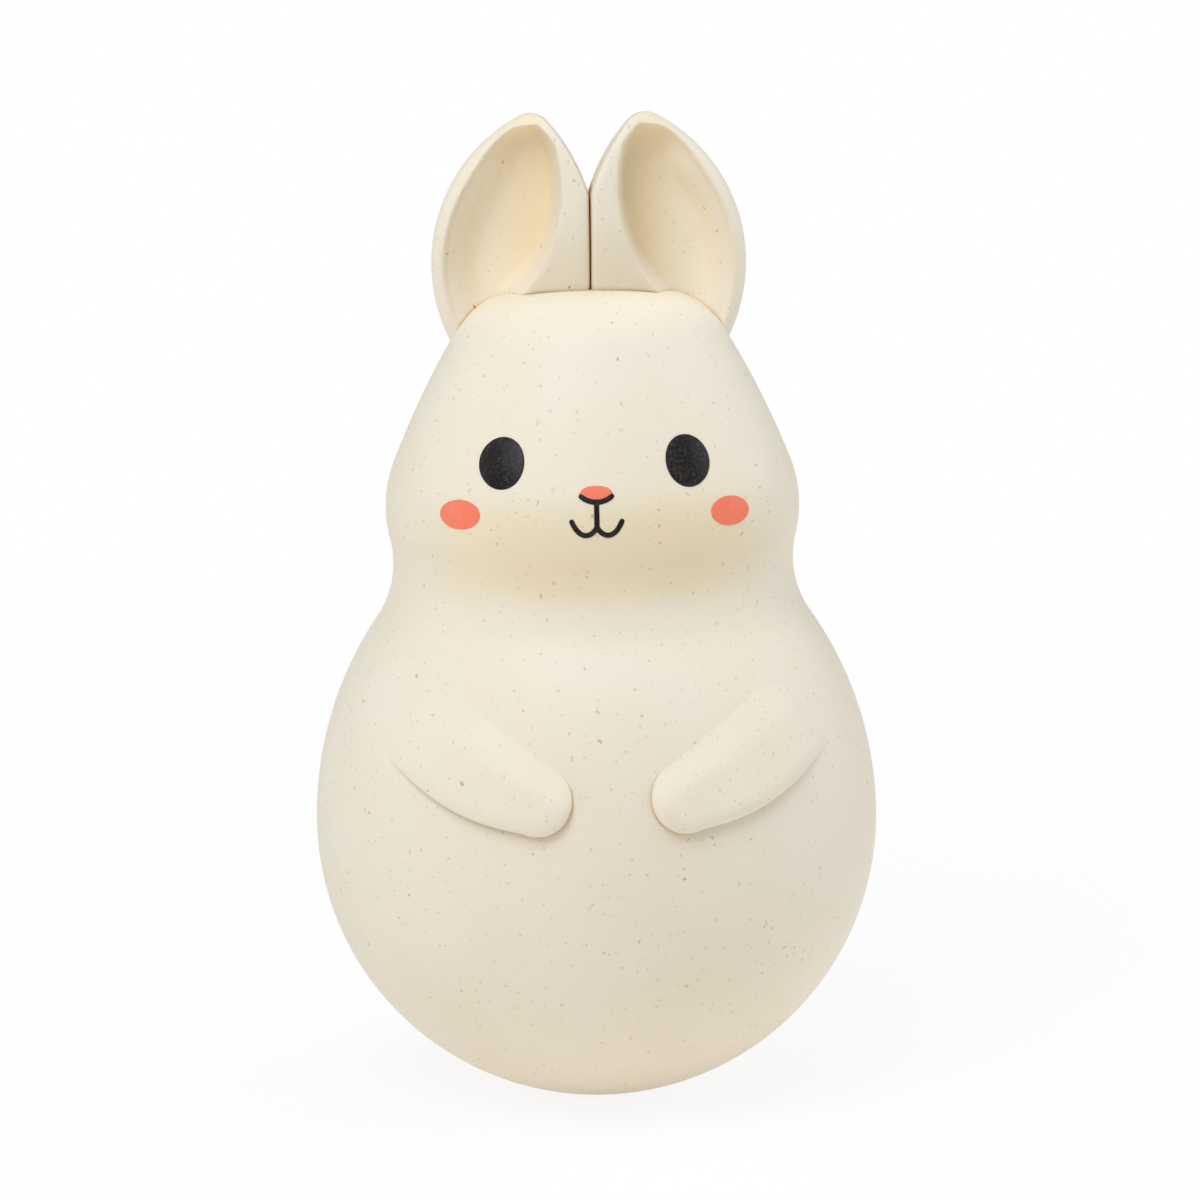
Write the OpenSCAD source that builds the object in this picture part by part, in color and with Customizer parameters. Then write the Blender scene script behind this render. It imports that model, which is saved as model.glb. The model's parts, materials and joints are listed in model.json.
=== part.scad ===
// Roly poly bunny: a weighted, hollow toy that rocks on its round base and chimes inside.
// Millimetres. The origin is the middle of the small flat under the base, +Z is up and the face looks along -Y.
// Left and right are the toy's own, so its left ear is on the +X side.

/* [Body] */
// Radius of the round base and belly
belly_r = 40; // [36:0.5:44]
// Radius of the small flat that the toy stands on
foot_r = 3; // [2:0.25:5]
// Radius of the curve from the belly up to the neck
shoulder_r = 51; // [44:0.5:54]
// Radius of the waist between belly and head
neck_r = 28.4; // [26:0.1:29]
// Radius of the hollow curve around the neck
neck_fillet_r = 14.8; // [11:0.1:18]
// Radius of the head at the cheeks
head_r = 29.35; // [29:0.05:33]
// Radius of the curve over the cheeks
cheek_r = 17.2; // [14:0.1:21]
// Lean of the side of the head where the brow begins, in degrees
brow_tilt = 21; // [17:0.2:24]
// Radius of the long curve up the brow
brow_r = 118; // [80:1:140]
// Radius of the curve around the crown
crown_r = 11; // [11:0.5:18]
// Radius of the shallow dome on top of the head
dome_r = 60; // [45:1:90]
// Height of the top of the head above the cheeks
crown_rise = 31.4; // [28:0.1:33]
// Thickness of the moulded wall
wall = 2.2; // [1.8:0.1:3]

/* [Seam] */
// How far the front lip reaches into the back shell
lip_h = 1.6; // [1:0.1:2.5]
// Thickness of the lip
lip_t = 1; // [0.6:0.1:1.2]
// Gap around the lip
lap_gap = 0.1; // [0.05:0.01:0.2]

/* [Arms] */
// Distance of the paw from the middle, seen from the front
paw_x = 10.3; // [8:0.1:14]
// Height of the paw above the middle of the belly
paw_rise = 10.3; // [5:0.1:12]
// Radius of the paw, seen from the front
paw_r = 4.9; // [3.5:0.1:6]
// How far the paw stands out of the belly
paw_proud = 2.2; // [1:0.1:3.5]
// Distance of the shoulder from the middle, seen from the front
arm_x = 26; // [22:0.1:28]
// Height of the shoulder above the middle of the belly
arm_rise = 18.6; // [14:0.1:21]
// Radius of the arm at the shoulder, seen from the front
arm_r = 6.7; // [5:0.1:7.5]
// How far the arm stands out at the end of the shoulder
arm_proud = 0.7; // [0.5:0.1:2]
// How far the lower edge of an arm bulges
arm_bulge = 1.3; // [0:0.1:2]

/* [Ears] */
// Radius of the outer edge of an ear, seen from the front
ear_side_r = 24; // [22:0.1:26]
// Distance of the widest point of an ear from the middle
ear_reach = 22.25; // [21:0.05:24]
// Height of that widest point above the top of the head
ear_mid_rise = 2.9; // [2:0.1:6]
// How far an ear reaches down the head below its top
ear_sink = 8.6; // [7:0.1:10]
// Radius of the inner edge of an ear above the seam between the ears
ear_inner_r = 28; // [25:0.1:32]
// Height above the top of the head where the ears part
ear_part_rise = 13.8; // [11:0.1:17]
// Lean of the inner edge where the ears part, in degrees
ear_part_tilt = 17.5; // [12:0.5:22]
// Radius of the tip of an ear
ear_tip_r = 3; // [2:0.1:4]
// Half of the gap between the ears
ear_gap = 0.15; // [0.1:0.05:0.5]
// How far an ear bulges backwards
ear_back = 4.6; // [4:0.1:6]
// How far the inner band of an ear stands forwards
ear_front = 5.4; // [4:0.1:7]
// Thickness of an ear at the bottom of its scoop
ear_wall = 1.8; // [1.4:0.1:2.4]
// Width of the outer rim around the scoop
ear_rim = 1.9; // [1.4:0.1:3]
// Radius of the inner edge of the scoop
scoop_r = 21.5; // [19:0.1:24]
// Width of the inner band at its narrowest
ear_band = 4.2; // [3:0.1:6]
// Height above the top of the head where that band is narrowest
ear_band_rise = 12.8; // [10:0.1:16]
// Radius of the post that holds an ear
ear_post_r = 2.6; // [2:0.1:3]
// Distance of the post from the middle
ear_post_x = 4.9; // [4.6:0.1:6]
// How much wider than the post its foot is
ear_foot_grip = 1.6; // [1:0.1:1.9]
// Thickness of the foot under the wall
ear_foot_t = 1.6; // [1:0.1:2.5]

/* [Face] */
// Thickness of the printed face
print_t = 0.12; // [0.08:0.01:0.3]
// Distance of an eye from the middle
eye_x = 12.8; // [11:0.1:15]
// Height of the eyes above the cheeks
eye_rise = 9.9; // [7:0.1:13]
// Width of an eye
eye_w = 6.15; // [4:0.05:8]
// Height of an eye
eye_h = 7.1; // [5:0.05:10]
// Lean of the eyes towards each other, in degrees
eye_tilt = 8; // [0:1:20]
// How much rounder an eye is at its bottom than at its top
eye_egg = 0.07; // [0:0.01:0.2]
// Distance of a cheek patch from the middle
blush_x = 18.7; // [17:0.1:21]
// Height of the cheek patches above the middle of the cheeks
blush_rise = 2.6; // [0:0.1:5]
// Width of a cheek patch
blush_w = 5.5; // [3:0.1:7]
// Height of a cheek patch
blush_h = 4; // [2:0.1:6]
// Width of the nose line
nose_w = 4.75; // [3:0.05:7]
// Height of the top of the nose above the cheeks
nose_rise = 7.3; // [5:0.1:9]
// Height of the nose
nose_h = 2.2; // [1.6:0.1:3.5]
// How far the nose line sags in its middle
nose_sag = 0.95; // [0.5:0.05:1.5]
// Width of the printed lines
line_w = 0.67; // [0.4:0.01:1]
// Length of the line from nose to mouth
stem_l = 3.5; // [2:0.1:5]
// Radius of each curve of the mouth
smile_r = 1.87; // [1.2:0.01:2.5]
// Depth of the ends of the mouth below the nose line
smile_drop = 2.6; // [1.5:0.05:4]

/* [Ballast and tray] */
// Height of the underside of the tray
tray_z = 15.2; // [13:0.1:18]
// Thickness of the tray
tray_t = 2.4; // [2:0.1:3.5]
// Height of the pads between tray and ballast
pad_h = 2; // [1.8:0.1:3]
// Gap between the ballast and the wall
ballast_gap = 0.3; // [0.2:0.05:1]
// How far the ledges hold the rim of the tray
ledge_grip = 1.6; // [1:0.1:2.2]
// Thickness of the ledges
ledge_t = 1.6; // [1:0.1:1.8]
// Gap around the rim of the tray
tray_gap = 0.2; // [0.1:0.05:0.4]
// Distance of the ballast screws from the middle
ballast_screw_ring = 12; // [10:0.1:14]

/* [Chime] */
// Distance of the rods from the middle
rod_ring = 19; // [18:0.1:20]
// Radius of a rod
rod_r = 1.5; // [1:0.05:1.8]
// Length of the longest rod
rod_l = 36; // [32:0.5:40]
// How much shorter each next rod is
rod_step = 2.6; // [1:0.1:3]
// Height of the sockets that hold the rods
socket_h = 4; // [3:0.1:6]
// Thickness of a socket around its rod
socket_t = 1.3; // [0.8:0.1:1.5]
// Distance of the legs of the bridge from the middle
leg_y = 23; // [21:0.1:24]
// Width of the bridge
bridge_w = 6; // [5:0.1:7]
// Thickness of a leg
leg_t = 4; // [3.4:0.1:4.2]
// Height of the underside of the bridge above the tray
bridge_clear = 44.4; // [43:0.1:48]
// Thickness of the bar across the top of the bridge
bar_t = 3; // [2:0.1:4]
// Depth of the eye of the bridge below its bar
lug_drop = 2.5; // [2.2:0.1:4]
// Thickness of the lug with that eye
lug_t = 2.5; // [2:0.1:3]
// Width of the lug's rim around that eye
lug_rim = 1.3; // [1:0.05:1.6]
// Radius of the hanger's wire and the striker's wire
wire_r = 0.7; // [0.5:0.05:0.8]
// Radius of the hanger ring, at the middle of its wire
hanger_r = 4; // [3.7:0.1:4.5]
// Radius of the striker's own eye, at the middle of its wire
striker_eye_r = 2.2; // [2:0.05:2.6]
// Radius of the striker's ball
ball_r = 6.5; // [5:0.1:7]
// Depth of the middle of the ball below the hanger ring's middle
ball_drop = 18; // [16:0.1:20]
// Running gap where wires hang in eyes
hang_gap = 0.1; // [0.05:0.01:0.15]

/* [Screws] */
// Distance of the lower case screws from the middle
low_screw_x = 27; // [25:0.1:29]
// Height of the lower case screws
low_screw_z = 27; // [25.5:0.1:30]
// Distance of the upper case screws from the middle
high_screw_x = 15; // [13:0.1:17]
// Height of the upper case screws above the cheeks
high_screw_rise = 11.6; // [8:0.1:13]
// Radius of the case screws' posts
post_r = 4; // [3.8:0.1:5]
// Distance from the seam to the seat of a case screw's head
seat_y = 6; // [4:0.1:9]
// Radius of a screw's thread
screw_r = 1.3; // [1:0.05:1.4]
// Length of a screw under its head
screw_l = 14; // [12:0.5:16]
// Radius of a screw's head
screw_head_r = 2.3; // [2:0.05:2.5]
// Height of a screw's head
screw_head_h = 1.5; // [1.2:0.1:1.6]
// Length of a ballast screw and of a bridge screw under its head
short_screw_l = 9; // [8:0.5:10]
// Gap around the head of a screw
head_gap = 0.4; // [0.3:0.05:0.6]
// Gap around the thread of a screw in the piece that it clamps
shank_gap = 0.2; // [0.1:0.05:0.3]
// Gap of a close fit, for a thread, a rod, a post or a plug
close_fit = 0.05; // [0.02:0.01:0.1]
// Length of a plug that closes a screw's well
plug_l = 4; // [3:0.1:6]

/* [Hidden] */
$fn = 180;

cream = [0.95, 0.92, 0.85];
coral = [0.98, 0.53, 0.42];
ink = [0.12, 0.12, 0.13];
iron = [0.30, 0.31, 0.33];
steel = [0.72, 0.73, 0.75];
white = [0.90, 0.90, 0.88];
beech = [0.80, 0.64, 0.45];

// A direction, the bearing of a vector, and the upper point at distance ra from a and rb from b
function unit(angle) = [cos(angle), sin(angle)];
function bearing(v) = atan2(v[1], v[0]);
function meet(a, ra, b, rb) =
    let (d = b - a, l = norm(d), along = (ra * ra - rb * rb + l * l) / (2 * l))
    let (across = sqrt(ra * ra - along * along), u = d / l)
    let (p = a + along * u + across * [-u[1], u[0]], q = a + along * u - across * [-u[1], u[0]])
    p[1] > q[1] ? p : q;

// Centres of the tangent arcs up the side of the body, as [distance from the axis, height]
belly_z = sqrt(belly_r * belly_r - foot_r * foot_r);
belly_c = [0, belly_z];
shoulder_c = [belly_r - shoulder_r, belly_z];
neck_x = neck_r + neck_fillet_r;
neck_rise = sqrt(pow(shoulder_r + neck_fillet_r, 2) - pow(neck_x - shoulder_c[0], 2));
neck_c = [neck_x, belly_z + neck_rise];
cheek_x = head_r - cheek_r;
cheek_z = neck_c[1] + sqrt(pow(cheek_r + neck_fillet_r, 2) - pow(neck_x - cheek_x, 2));
cheek_c = [cheek_x, cheek_z];
brow_c = cheek_c + (cheek_r - brow_r) * unit(brow_tilt);
head_top = cheek_z + crown_rise;
dome_c = [0, head_top - dome_r];
crown_c = meet(brow_c, brow_r - crown_r, dome_c, dome_r - crown_r);

// Each arc above the belly: centre, radius, 1 where it bulges or -1 where it is hollow, first and last bearing
neck_low = bearing(neck_c - shoulder_c);
neck_high = bearing(neck_c - cheek_c);
crown_low = bearing(crown_c - brow_c);
crown_high = bearing(crown_c - dome_c);
arcs = [
    [shoulder_c, shoulder_r, 1, 0, neck_low],
    [neck_c, neck_fillet_r, -1, neck_low, neck_high],
    [cheek_c, cheek_r, 1, neck_high, brow_tilt],
    [brow_c, brow_r, 1, brow_tilt, crown_low],
    [crown_c, crown_r, 1, crown_low, crown_high],
    [dome_c, dome_r, 1, crown_high, 90]
];

// The point of an arc at a bearing, after the surface has moved inwards by inset
function on_arc(arc, inset, angle) = arc[0] + (arc[2] * arc[1] - inset) * unit(angle);
// Radius of the body at a height, on the belly, the shoulder and the brow
function belly_radius(z) =
    z < belly_z ? sqrt(pow(belly_r, 2) - pow(z - belly_z, 2))
                : shoulder_c[0] + sqrt(pow(shoulder_r, 2) - pow(z - belly_z, 2));
function brow_radius(z) = brow_c[0] + sqrt(pow(brow_r, 2) - pow(z - brow_c[1], 2));
// The way that the front of the belly faces at a place seen from the front
function belly_way(x, z) =
    let (rise = asin((z - belly_z) / (z < belly_z ? belly_r : shoulder_r)), side = asin(x / belly_radius(z)))
    [cos(rise) * sin(side), -cos(rise) * cos(side), sin(rise)];

far = 4 * belly_r;
skin = 0.5 * wall;
lip_inset = wall - lip_t;

// The arcs as short steps: the largest turn and the longest run of one step
step_turn = 4;
step_run = 2.5;
function arc_count(arc) =
    let (turn = abs(arc[4] - arc[3]))
    ceil(max(turn / step_turn, arc[1] * turn * PI / 180 / step_run));
function side_points(inset) = [
    for (arc = arcs)
        let (n = arc_count(arc), last = arc[4] == 90 ? n - 1 : n)
        for (k = [1 : last]) on_arc(arc, inset, arc[3] + (arc[4] - arc[3]) * k / n)
];

// Half of the body's outline beside the axis, moved inwards by inset
module outline(inset) {
    side = side_points(inset);
    intersection() {
        square([far, belly_z]);
        translate(belly_c) circle(belly_r - inset);
    }
    polygon(concat([[0, belly_z], [belly_r - inset, belly_z]], side, [[0, side[len(side) - 1][1]]]));
}

module body(inset) rotate_extrude() outline(inset);

// A slab of the body on the seam plane, from the seam to reach behind it
module seam_slab(inset, reach) {
    translate([0, reach, 0]) rotate([90, 0, 0]) linear_extrude(reach) {
        outline(inset);
        mirror([1, 0]) outline(inset);
    }
}

// Half a turn of a flat shape: the front half, or the back half
module front_turn() rotate([0, 0, 180]) rotate_extrude(angle = 180) children();
module back_turn() rotate_extrude(angle = 180) children();

// Things that repeat on both sides
module both_sides() {
    children();
    mirror([1, 0, 0]) children();
}

// A rod along the Y axis, from y0 to y1
module rod_y(x, z, r, y0, y1) translate([x, y1, z]) rotate([90, 0, 0]) cylinder(r = r, h = y1 - y0);

// Points along an arc, in arc_steps steps
arc_steps = 20;
function arc_points(c, r, first, last) =
    [for (k = [0 : arc_steps]) c + r * unit(first + (last - first) * k / arc_steps)];

// A flat shape around two circles, with a straight upper side and a lower side that bulges
module tapered_slot(a, a_r, b, b_r, bulge) {
    way = bearing(b - a);
    turn = acos((a_r - b_r) / norm(b - a));
    down = unit(way - turn);
    low_a = a + a_r * down;
    low_b = b + b_r * down;
    polygon(concat(
        arc_points(a, a_r, way + turn, way + 360 - turn),
        [for (k = [1 : arc_steps - 1])
            let (t = k / arc_steps)
            low_a + (low_b - low_a) * t + bulge * sin(180 * t) * down],
        arc_points(b, b_r, way - turn, way + turn)
    ));
}

// A pan-head screw along +Z, its head above z = 0 and its thread below
cross_w = 0.7;
cross_l = 0.62 * screw_head_r;
cross_depth = 0.6 * screw_head_h;
module screw(length) {
    difference() {
        union() {
            cylinder(r = screw_head_r, h = screw_head_h);
            translate([0, 0, -length]) cylinder(r = screw_r, h = length);
        }
        for (a = [0, 90])
            rotate(a) translate([-cross_l, -cross_w / 2, screw_head_h - cross_depth])
                cube([2 * cross_l, cross_w, cross_depth + 1]);
    }
}

// Places of the four case screws, seen from the front
high_screw_z = cheek_z + high_screw_rise;
case_screw_spots = [
    for (side = [-1, 1]) each [[side * low_screw_x, low_screw_z], [side * high_screw_x, high_screw_z]]
];
well_r = screw_head_r + head_gap;
pilot_r = screw_r + close_fit;
clear_r = screw_r + shank_gap;

// The tray's rim, its ledges and the ballast under it
inner_r = belly_r - wall;
tray_top = tray_z + tray_t;
tray_r = sqrt(pow(inner_r, 2) - pow(belly_z - tray_z, 2)) - tray_gap;
ledge_r = tray_r - ledge_grip;
ballast_top = tray_z - pad_h;
ballast_screw_angles = [30, 150, 270];
rod_angles = [45, 135, 225, 315];

module ledge_outline() {
    intersection() {
        union() {
            translate([ledge_r, tray_z - ledge_t]) square([belly_r, ledge_t]);
            translate([ledge_r, tray_top + tray_gap]) square([belly_r, ledge_t]);
        }
        outline(skin);
    }
}

// Ears: everything is worked out from the top of the head
ear_side_c = [ear_reach - ear_side_r, head_top + ear_mid_rise];
ear_part_z = head_top + ear_part_rise;
ear_inner_c = [ear_gap, ear_part_z] + ear_inner_r * [cos(ear_part_tilt), -sin(ear_part_tilt)];
ear_tip_c = meet(ear_side_c, ear_side_r - ear_tip_r, ear_inner_c, ear_inner_r - ear_tip_r);
ear_tip_out_z = ear_side_c[1] + ear_side_r * sin(bearing(ear_tip_c - ear_side_c));
ear_tip_in_z = ear_inner_c[1] + ear_inner_r * sin(bearing(ear_tip_c - ear_inner_c));
ear_top = ear_tip_c[1] + ear_tip_r;
ear_low = head_top - ear_sink;
scoop_c = [ear_band + scoop_r, head_top + ear_band_rise];
scoop_side_r = ear_side_r - ear_rim;
ear_turn = 1.6;
ear_taper = 0.6;
inner_fullness = 3.2;
outer_fullness = 2.2;

// Half of the chord of a circle at a distance from its middle
function half_chord(r, d) = sqrt(max(0, r * r - d * d));
function within(x, low, high) = min(high, max(low, x));
function ease(t) = let (k = within(t, 0, 1)) k * k * (3 - 2 * k);

function ear_outer_x(z) =
    z < ear_tip_out_z ? ear_side_c[0] + half_chord(ear_side_r, z - ear_side_c[1])
                      : ear_tip_c[0] + half_chord(ear_tip_r, z - ear_tip_c[1]);
function ear_inner_x(z) =
    z < ear_part_z ? ear_gap
    : z < ear_tip_in_z ? ear_inner_c[0] - half_chord(ear_inner_r, z - ear_inner_c[1])
                       : ear_tip_c[0] - half_chord(ear_tip_r, z - ear_tip_c[1]);

// How deep into the scoop a point is, from 0 on the rim to 1 on the floor
wall_step = 2.6;
edge_step = 1.2;
edge_share = 0.3;
rise_step = 10;
function scoop_depth(x, z) =
    let (edge = scoop_side_r - norm([x, z] - ear_side_c), side = scoop_r - norm([x, z] - scoop_c))
    (edge_share * ease(edge / edge_step) + (1 - edge_share) * ease(edge / rise_step)) * ease(side / wall_step);
// Fullness of the ear's section across its width, u from -1 inside to 1 outside
function ear_full(u) = let (n = u < 0 ? inner_fullness : outer_fullness) pow(1 - pow(abs(u), n), 1 / n);
// One point of the ear: face is -1 on the front or 1 on the back
function ear_point(x, z, face) =
    let (xi = ear_inner_x(z), xo = ear_outer_x(z), u = within((2 * x - xi - xo) / (xo - xi), -1, 1))
    let (size = pow(min(1, (xo - xi) / ear_reach), ear_taper), turn = ear_turn * size * u)
    let (back = turn + ear_back * size * ear_full(u), front = turn - ear_front * size * ear_full(u))
    let (floor_y = max(front, back - ear_wall * size))
    [x, face > 0 ? back : front + (floor_y - front) * scoop_depth(x, z), z];

// Places across an ear at a height: evenly round its back, and along the parts of the scoop on its front
back_steps = 14;
band_shares = [0, 0.03, 0.12, 0.3, 0.6, 0.85, 1];
wall_shares = [0.25, 0.5, 0.75, 1];
floor_shares = [0.25, 0.5, 0.75, 1];
edge_shares = [0.5, 1];
rim_shares = [0.3, 0.6, 0.85, 0.97];
function spread(a, b, shares) = [for (share = shares) a + (b - a) * share];
function ear_back_x(z) =
    let (xi = ear_inner_x(z), xo = ear_outer_x(z))
    [for (k = [0 : back_steps - 1]) (xi + xo) / 2 + (xo - xi) / 2 * cos(180 * k / back_steps)];
function ear_front_x(z) =
    let (xi = ear_inner_x(z), xo = ear_outer_x(z), w = xo - xi)
    let (scoop_in = scoop_c[0] - half_chord(scoop_r, z - scoop_c[1]))
    let (scoop_out = ear_side_c[0] + half_chord(scoop_side_r, z - ear_side_c[1]))
    let (a = within(scoop_in, xi + 0.15 * w, xi + 0.6 * w), d = within(scoop_out, xi + 0.7 * w, xo - 0.05 * w))
    let (b = a + min(wall_step, (d - a) / 2), c = d - min(edge_step, (d - b) / 2))
    concat(
        spread(xi, a, band_shares), spread(a, b, wall_shares), spread(b, c, floor_shares),
        spread(c, d, edge_shares), spread(d, xo, rim_shares)
    );

ear_rings = 26;
module ear_form() {
    heights = [for (k = [0 : ear_rings - 1]) ear_low + (ear_top - ear_low) * sin(90 * k / ear_rings)];
    rings = [
        for (z = heights) concat(
            [for (x = ear_back_x(z)) ear_point(x, z, 1)],
            [for (x = ear_front_x(z)) ear_point(x, z, -1)]
        )
    ];
    count = len(rings[0]);
    points = [for (ring = rings) each ring, [ear_tip_c[0], 0, ear_top]];
    sides = [
        for (k = [0 : ear_rings - 2]) for (i = [0 : count - 1])
            let (a = k * count + i, b = k * count + (i + 1) % count)
            each [[a, a + count, b], [b, a + count, b + count]]
    ];
    last = (ear_rings - 1) * count;
    tip = [for (i = [0 : count - 1]) [last + i, len(points) - 1, last + (i + 1) % count]];
    base = [for (i = [1 : count - 2]) [0, i, i + 1]];
    polyhedron(points, concat(sides, tip, base));
}

ear_foot_inset = wall + lap_gap;
ear_post_top = head_top + 1;
module ear() {
    foot_r_ear = ear_post_r + ear_foot_grip;
    difference() {
        ear_form();
        body(-close_fit);
    }
    translate([ear_post_x, 0, head_top - wall - 2 * ear_foot_t])
        cylinder(r = ear_post_r, h = ear_post_top - head_top + wall + 2 * ear_foot_t);
    intersection() {
        translate([ear_post_x, 0, cheek_z]) cylinder(r = foot_r_ear, h = crown_rise);
        rotate_extrude() difference() {
            outline(ear_foot_inset);
            outline(ear_foot_inset + ear_foot_t);
        }
    }
}

module ear_holes() {
    for (side = [-1, 1]) translate([side * ear_post_x, 0, cheek_z + crown_rise / 2]) rotate(45)
        cylinder(r = ear_post_r + close_fit, h = crown_rise);
}

// Arms: an outline seen from the front, cut out of a body that is moved out of the belly towards the paw
paw = [paw_x, belly_z + paw_rise];
arm = [arm_x, belly_z + arm_rise];
arm_end = arm + arm_r * unit(bearing(arm - paw));
paw_way = belly_way(paw[0], paw[1]);
end_way = belly_way(arm_end[0], arm_end[1]);
arm_spread = paw_way * end_way;
arm_shift = (
    (paw_proud - arm_proud * arm_spread) * paw_way + (arm_proud - paw_proud * arm_spread) * end_way
) / (1 - arm_spread * arm_spread);

module arm_pad() {
    intersection() {
        rotate([90, 0, 0]) linear_extrude(far) tapered_slot(paw, paw_r, arm, arm_r, arm_bulge);
        translate(arm_shift) body(0);
    }
}

module front_shell() {
    color(cream) difference() {
        union() {
            difference() {
                union() {
                    front_turn() outline(0);
                    both_sides() arm_pad();
                }
                body(wall);
            }
            front_turn() ledge_outline();
            difference() {
                seam_slab(lip_inset + lap_gap, lip_h);
                translate([0, -1, 0]) seam_slab(wall, lip_h + 2);
            }
            intersection() {
                for (s = case_screw_spots) rod_y(s[0], s[1], post_r, -far, 0);
                body(skin);
            }
        }
        for (s = case_screw_spots) rod_y(s[0], s[1], pilot_r, seat_y - screw_l - 1, 1);
        ear_holes();
    }
}

module back_shell() {
    color(cream) difference() {
        union() {
            difference() {
                union() {
                    back_turn() difference() {
                        outline(0);
                        outline(wall);
                    }
                    back_turn() ledge_outline();
                }
                translate([0, -1, 0]) seam_slab(lip_inset, lip_h + lap_gap + 1);
            }
            intersection() {
                for (s = case_screw_spots) rod_y(s[0], s[1], post_r, 0, far);
                body(skin);
            }
        }
        for (s = case_screw_spots) {
            rod_y(s[0], s[1], clear_r, -1, far);
            rod_y(s[0], s[1], well_r, seat_y, far);
        }
        ear_holes();
    }
}

module left_ear() color(cream) ear();
module right_ear() color(cream) mirror([1, 0, 0]) ear();

// A flat drawing laid on the front of the head as a film
module print_film() {
    difference() {
        intersection() {
            rotate([90, 0, 0]) linear_extrude(far) translate([0, cheek_z]) children();
            body(-print_t);
        }
        body(0);
    }
}

eye_sides = 72;
module eye_drawing() {
    translate([eye_x, eye_rise]) rotate(eye_tilt) polygon([
        for (k = [0 : eye_sides - 1])
            let (a = 360 * k / eye_sides)
            [eye_w / 2 * cos(a) * (1 - eye_egg * sin(a)), eye_h / 2 * sin(a)]
    ]);
}
module blush_drawing() {
    translate([blush_x, blush_rise]) polygon([
        for (k = [0 : eye_sides - 1])
            let (a = 360 * k / eye_sides)
            [blush_w / 2 * cos(a), blush_h / 2 * sin(a)]
    ]);
}

module left_eye() color(ink) print_film() eye_drawing();
module right_eye() color(ink) print_film() mirror([1, 0]) eye_drawing();
module left_cheek() color(coral) print_film() blush_drawing();
module right_cheek() color(coral) print_film() mirror([1, 0]) blush_drawing();

// The nose line is an arc that sags under the nose, and the nose fills the space above it
nose_arc_r = (pow(nose_w / 2, 2) + pow(nose_sag, 2)) / (2 * nose_sag);
nose_line_y = nose_rise - nose_h;
nose_arc_c = [0, nose_line_y + nose_arc_r];
nose_lift = nose_h - nose_sag;
nose_top_r = (pow(nose_w / 2, 2) + pow(nose_lift, 2)) / (2 * nose_lift);
nose_top_c = [0, nose_rise - nose_top_r];

module nose() {
    color(coral) print_film() intersection() {
        translate(nose_top_c) circle(nose_top_r);
        translate(nose_arc_c) circle(nose_arc_r - line_w / 2);
    }
}

// A line of even width along an arc, with round ends
module arc_line(c, r, first, last) {
    half_w = line_w / 2;
    cap = 180 / arc_steps;
    polygon(concat(
        arc_points(c, r + half_w, first, last),
        arc_points(c + r * unit(last), half_w, last + cap, last + 180 - cap),
        arc_points(c, r - half_w, last, first),
        arc_points(c + r * unit(first), half_w, first + 180 + cap, first + 360 - cap)
    ));
}

nose_half = asin(nose_w / 2 / nose_arc_r);
smile_end_y = nose_line_y - smile_drop;
stem_end_y = nose_line_y - stem_l;
smile_x = sqrt(pow(smile_r, 2) - pow(stem_end_y - smile_end_y, 2));
smile_cross = 12;
smile_first = bearing([-smile_x, stem_end_y - smile_end_y]) - smile_cross;

module mouth() {
    color(ink) print_film() {
        arc_line(nose_arc_c, nose_arc_r, -90 - nose_half, -90 + nose_half);
        translate([-line_w / 2, stem_end_y]) square([line_w, stem_l]);
        arc_line([smile_x, smile_end_y], smile_r, smile_first, 0);
        arc_line([-smile_x, smile_end_y], smile_r, 180, 180 - smile_first);
    }
}

module case_screws() {
    color(steel) for (s = case_screw_spots)
        translate([s[0], seat_y, s[1]]) rotate([-90, 0, 0]) screw(screw_l);
}

// Plugs that close the wells flush with the back
module screw_plugs() {
    color(cream) for (s = case_screw_spots) {
        surface_r = s[1] < belly_z ? belly_radius(s[1]) : brow_radius(s[1]);
        back_y = sqrt(pow(surface_r, 2) - s[0] * s[0]);
        intersection() {
            rod_y(s[0], s[1], well_r - close_fit, back_y - plug_l, far);
            body(0);
        }
    }
}

module ballast_weight() {
    color(iron) difference() {
        rotate_extrude() intersection() {
            outline(wall + ballast_gap);
            square([belly_r, ballast_top]);
        }
        at_ballast_screws() translate([0, 0, tray_top - short_screw_l - 1]) cylinder(r = pilot_r, h = tray_t + far);
    }
}

module at_ballast_screws() for (a = ballast_screw_angles) rotate(a) translate([ballast_screw_ring, 0, 0]) children();
module at_rods() for (a = rod_angles) rotate(a) translate([rod_ring, 0, 0]) children();
module at_legs() for (side = [-1, 1]) translate([0, side * leg_y, 0]) children();

module chime_tray() {
    color(white) difference() {
        union() {
            translate([0, 0, tray_z]) cylinder(r = tray_r, h = tray_t);
            at_ballast_screws() translate([0, 0, ballast_top]) cylinder(r = post_r, h = pad_h + 1);
            at_rods() translate([0, 0, tray_z + 1]) cylinder(r = rod_r + socket_t, h = tray_t - 1 + socket_h);
        }
        at_ballast_screws() cylinder(r = clear_r, h = far);
        at_rods() translate([0, 0, tray_top]) cylinder(r = rod_r + close_fit, h = far);
        at_legs() cylinder(r = clear_r, h = far);
    }
}

module ballast_screws() color(steel) at_ballast_screws() translate([0, 0, tray_top]) screw(short_screw_l);

// A chime rod, counted from the longest
module chime_rod(k) {
    color(steel) rotate(rod_angles[k]) translate([rod_ring, 0, tray_top])
        cylinder(r = rod_r, h = rod_l - k * rod_step);
}

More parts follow.
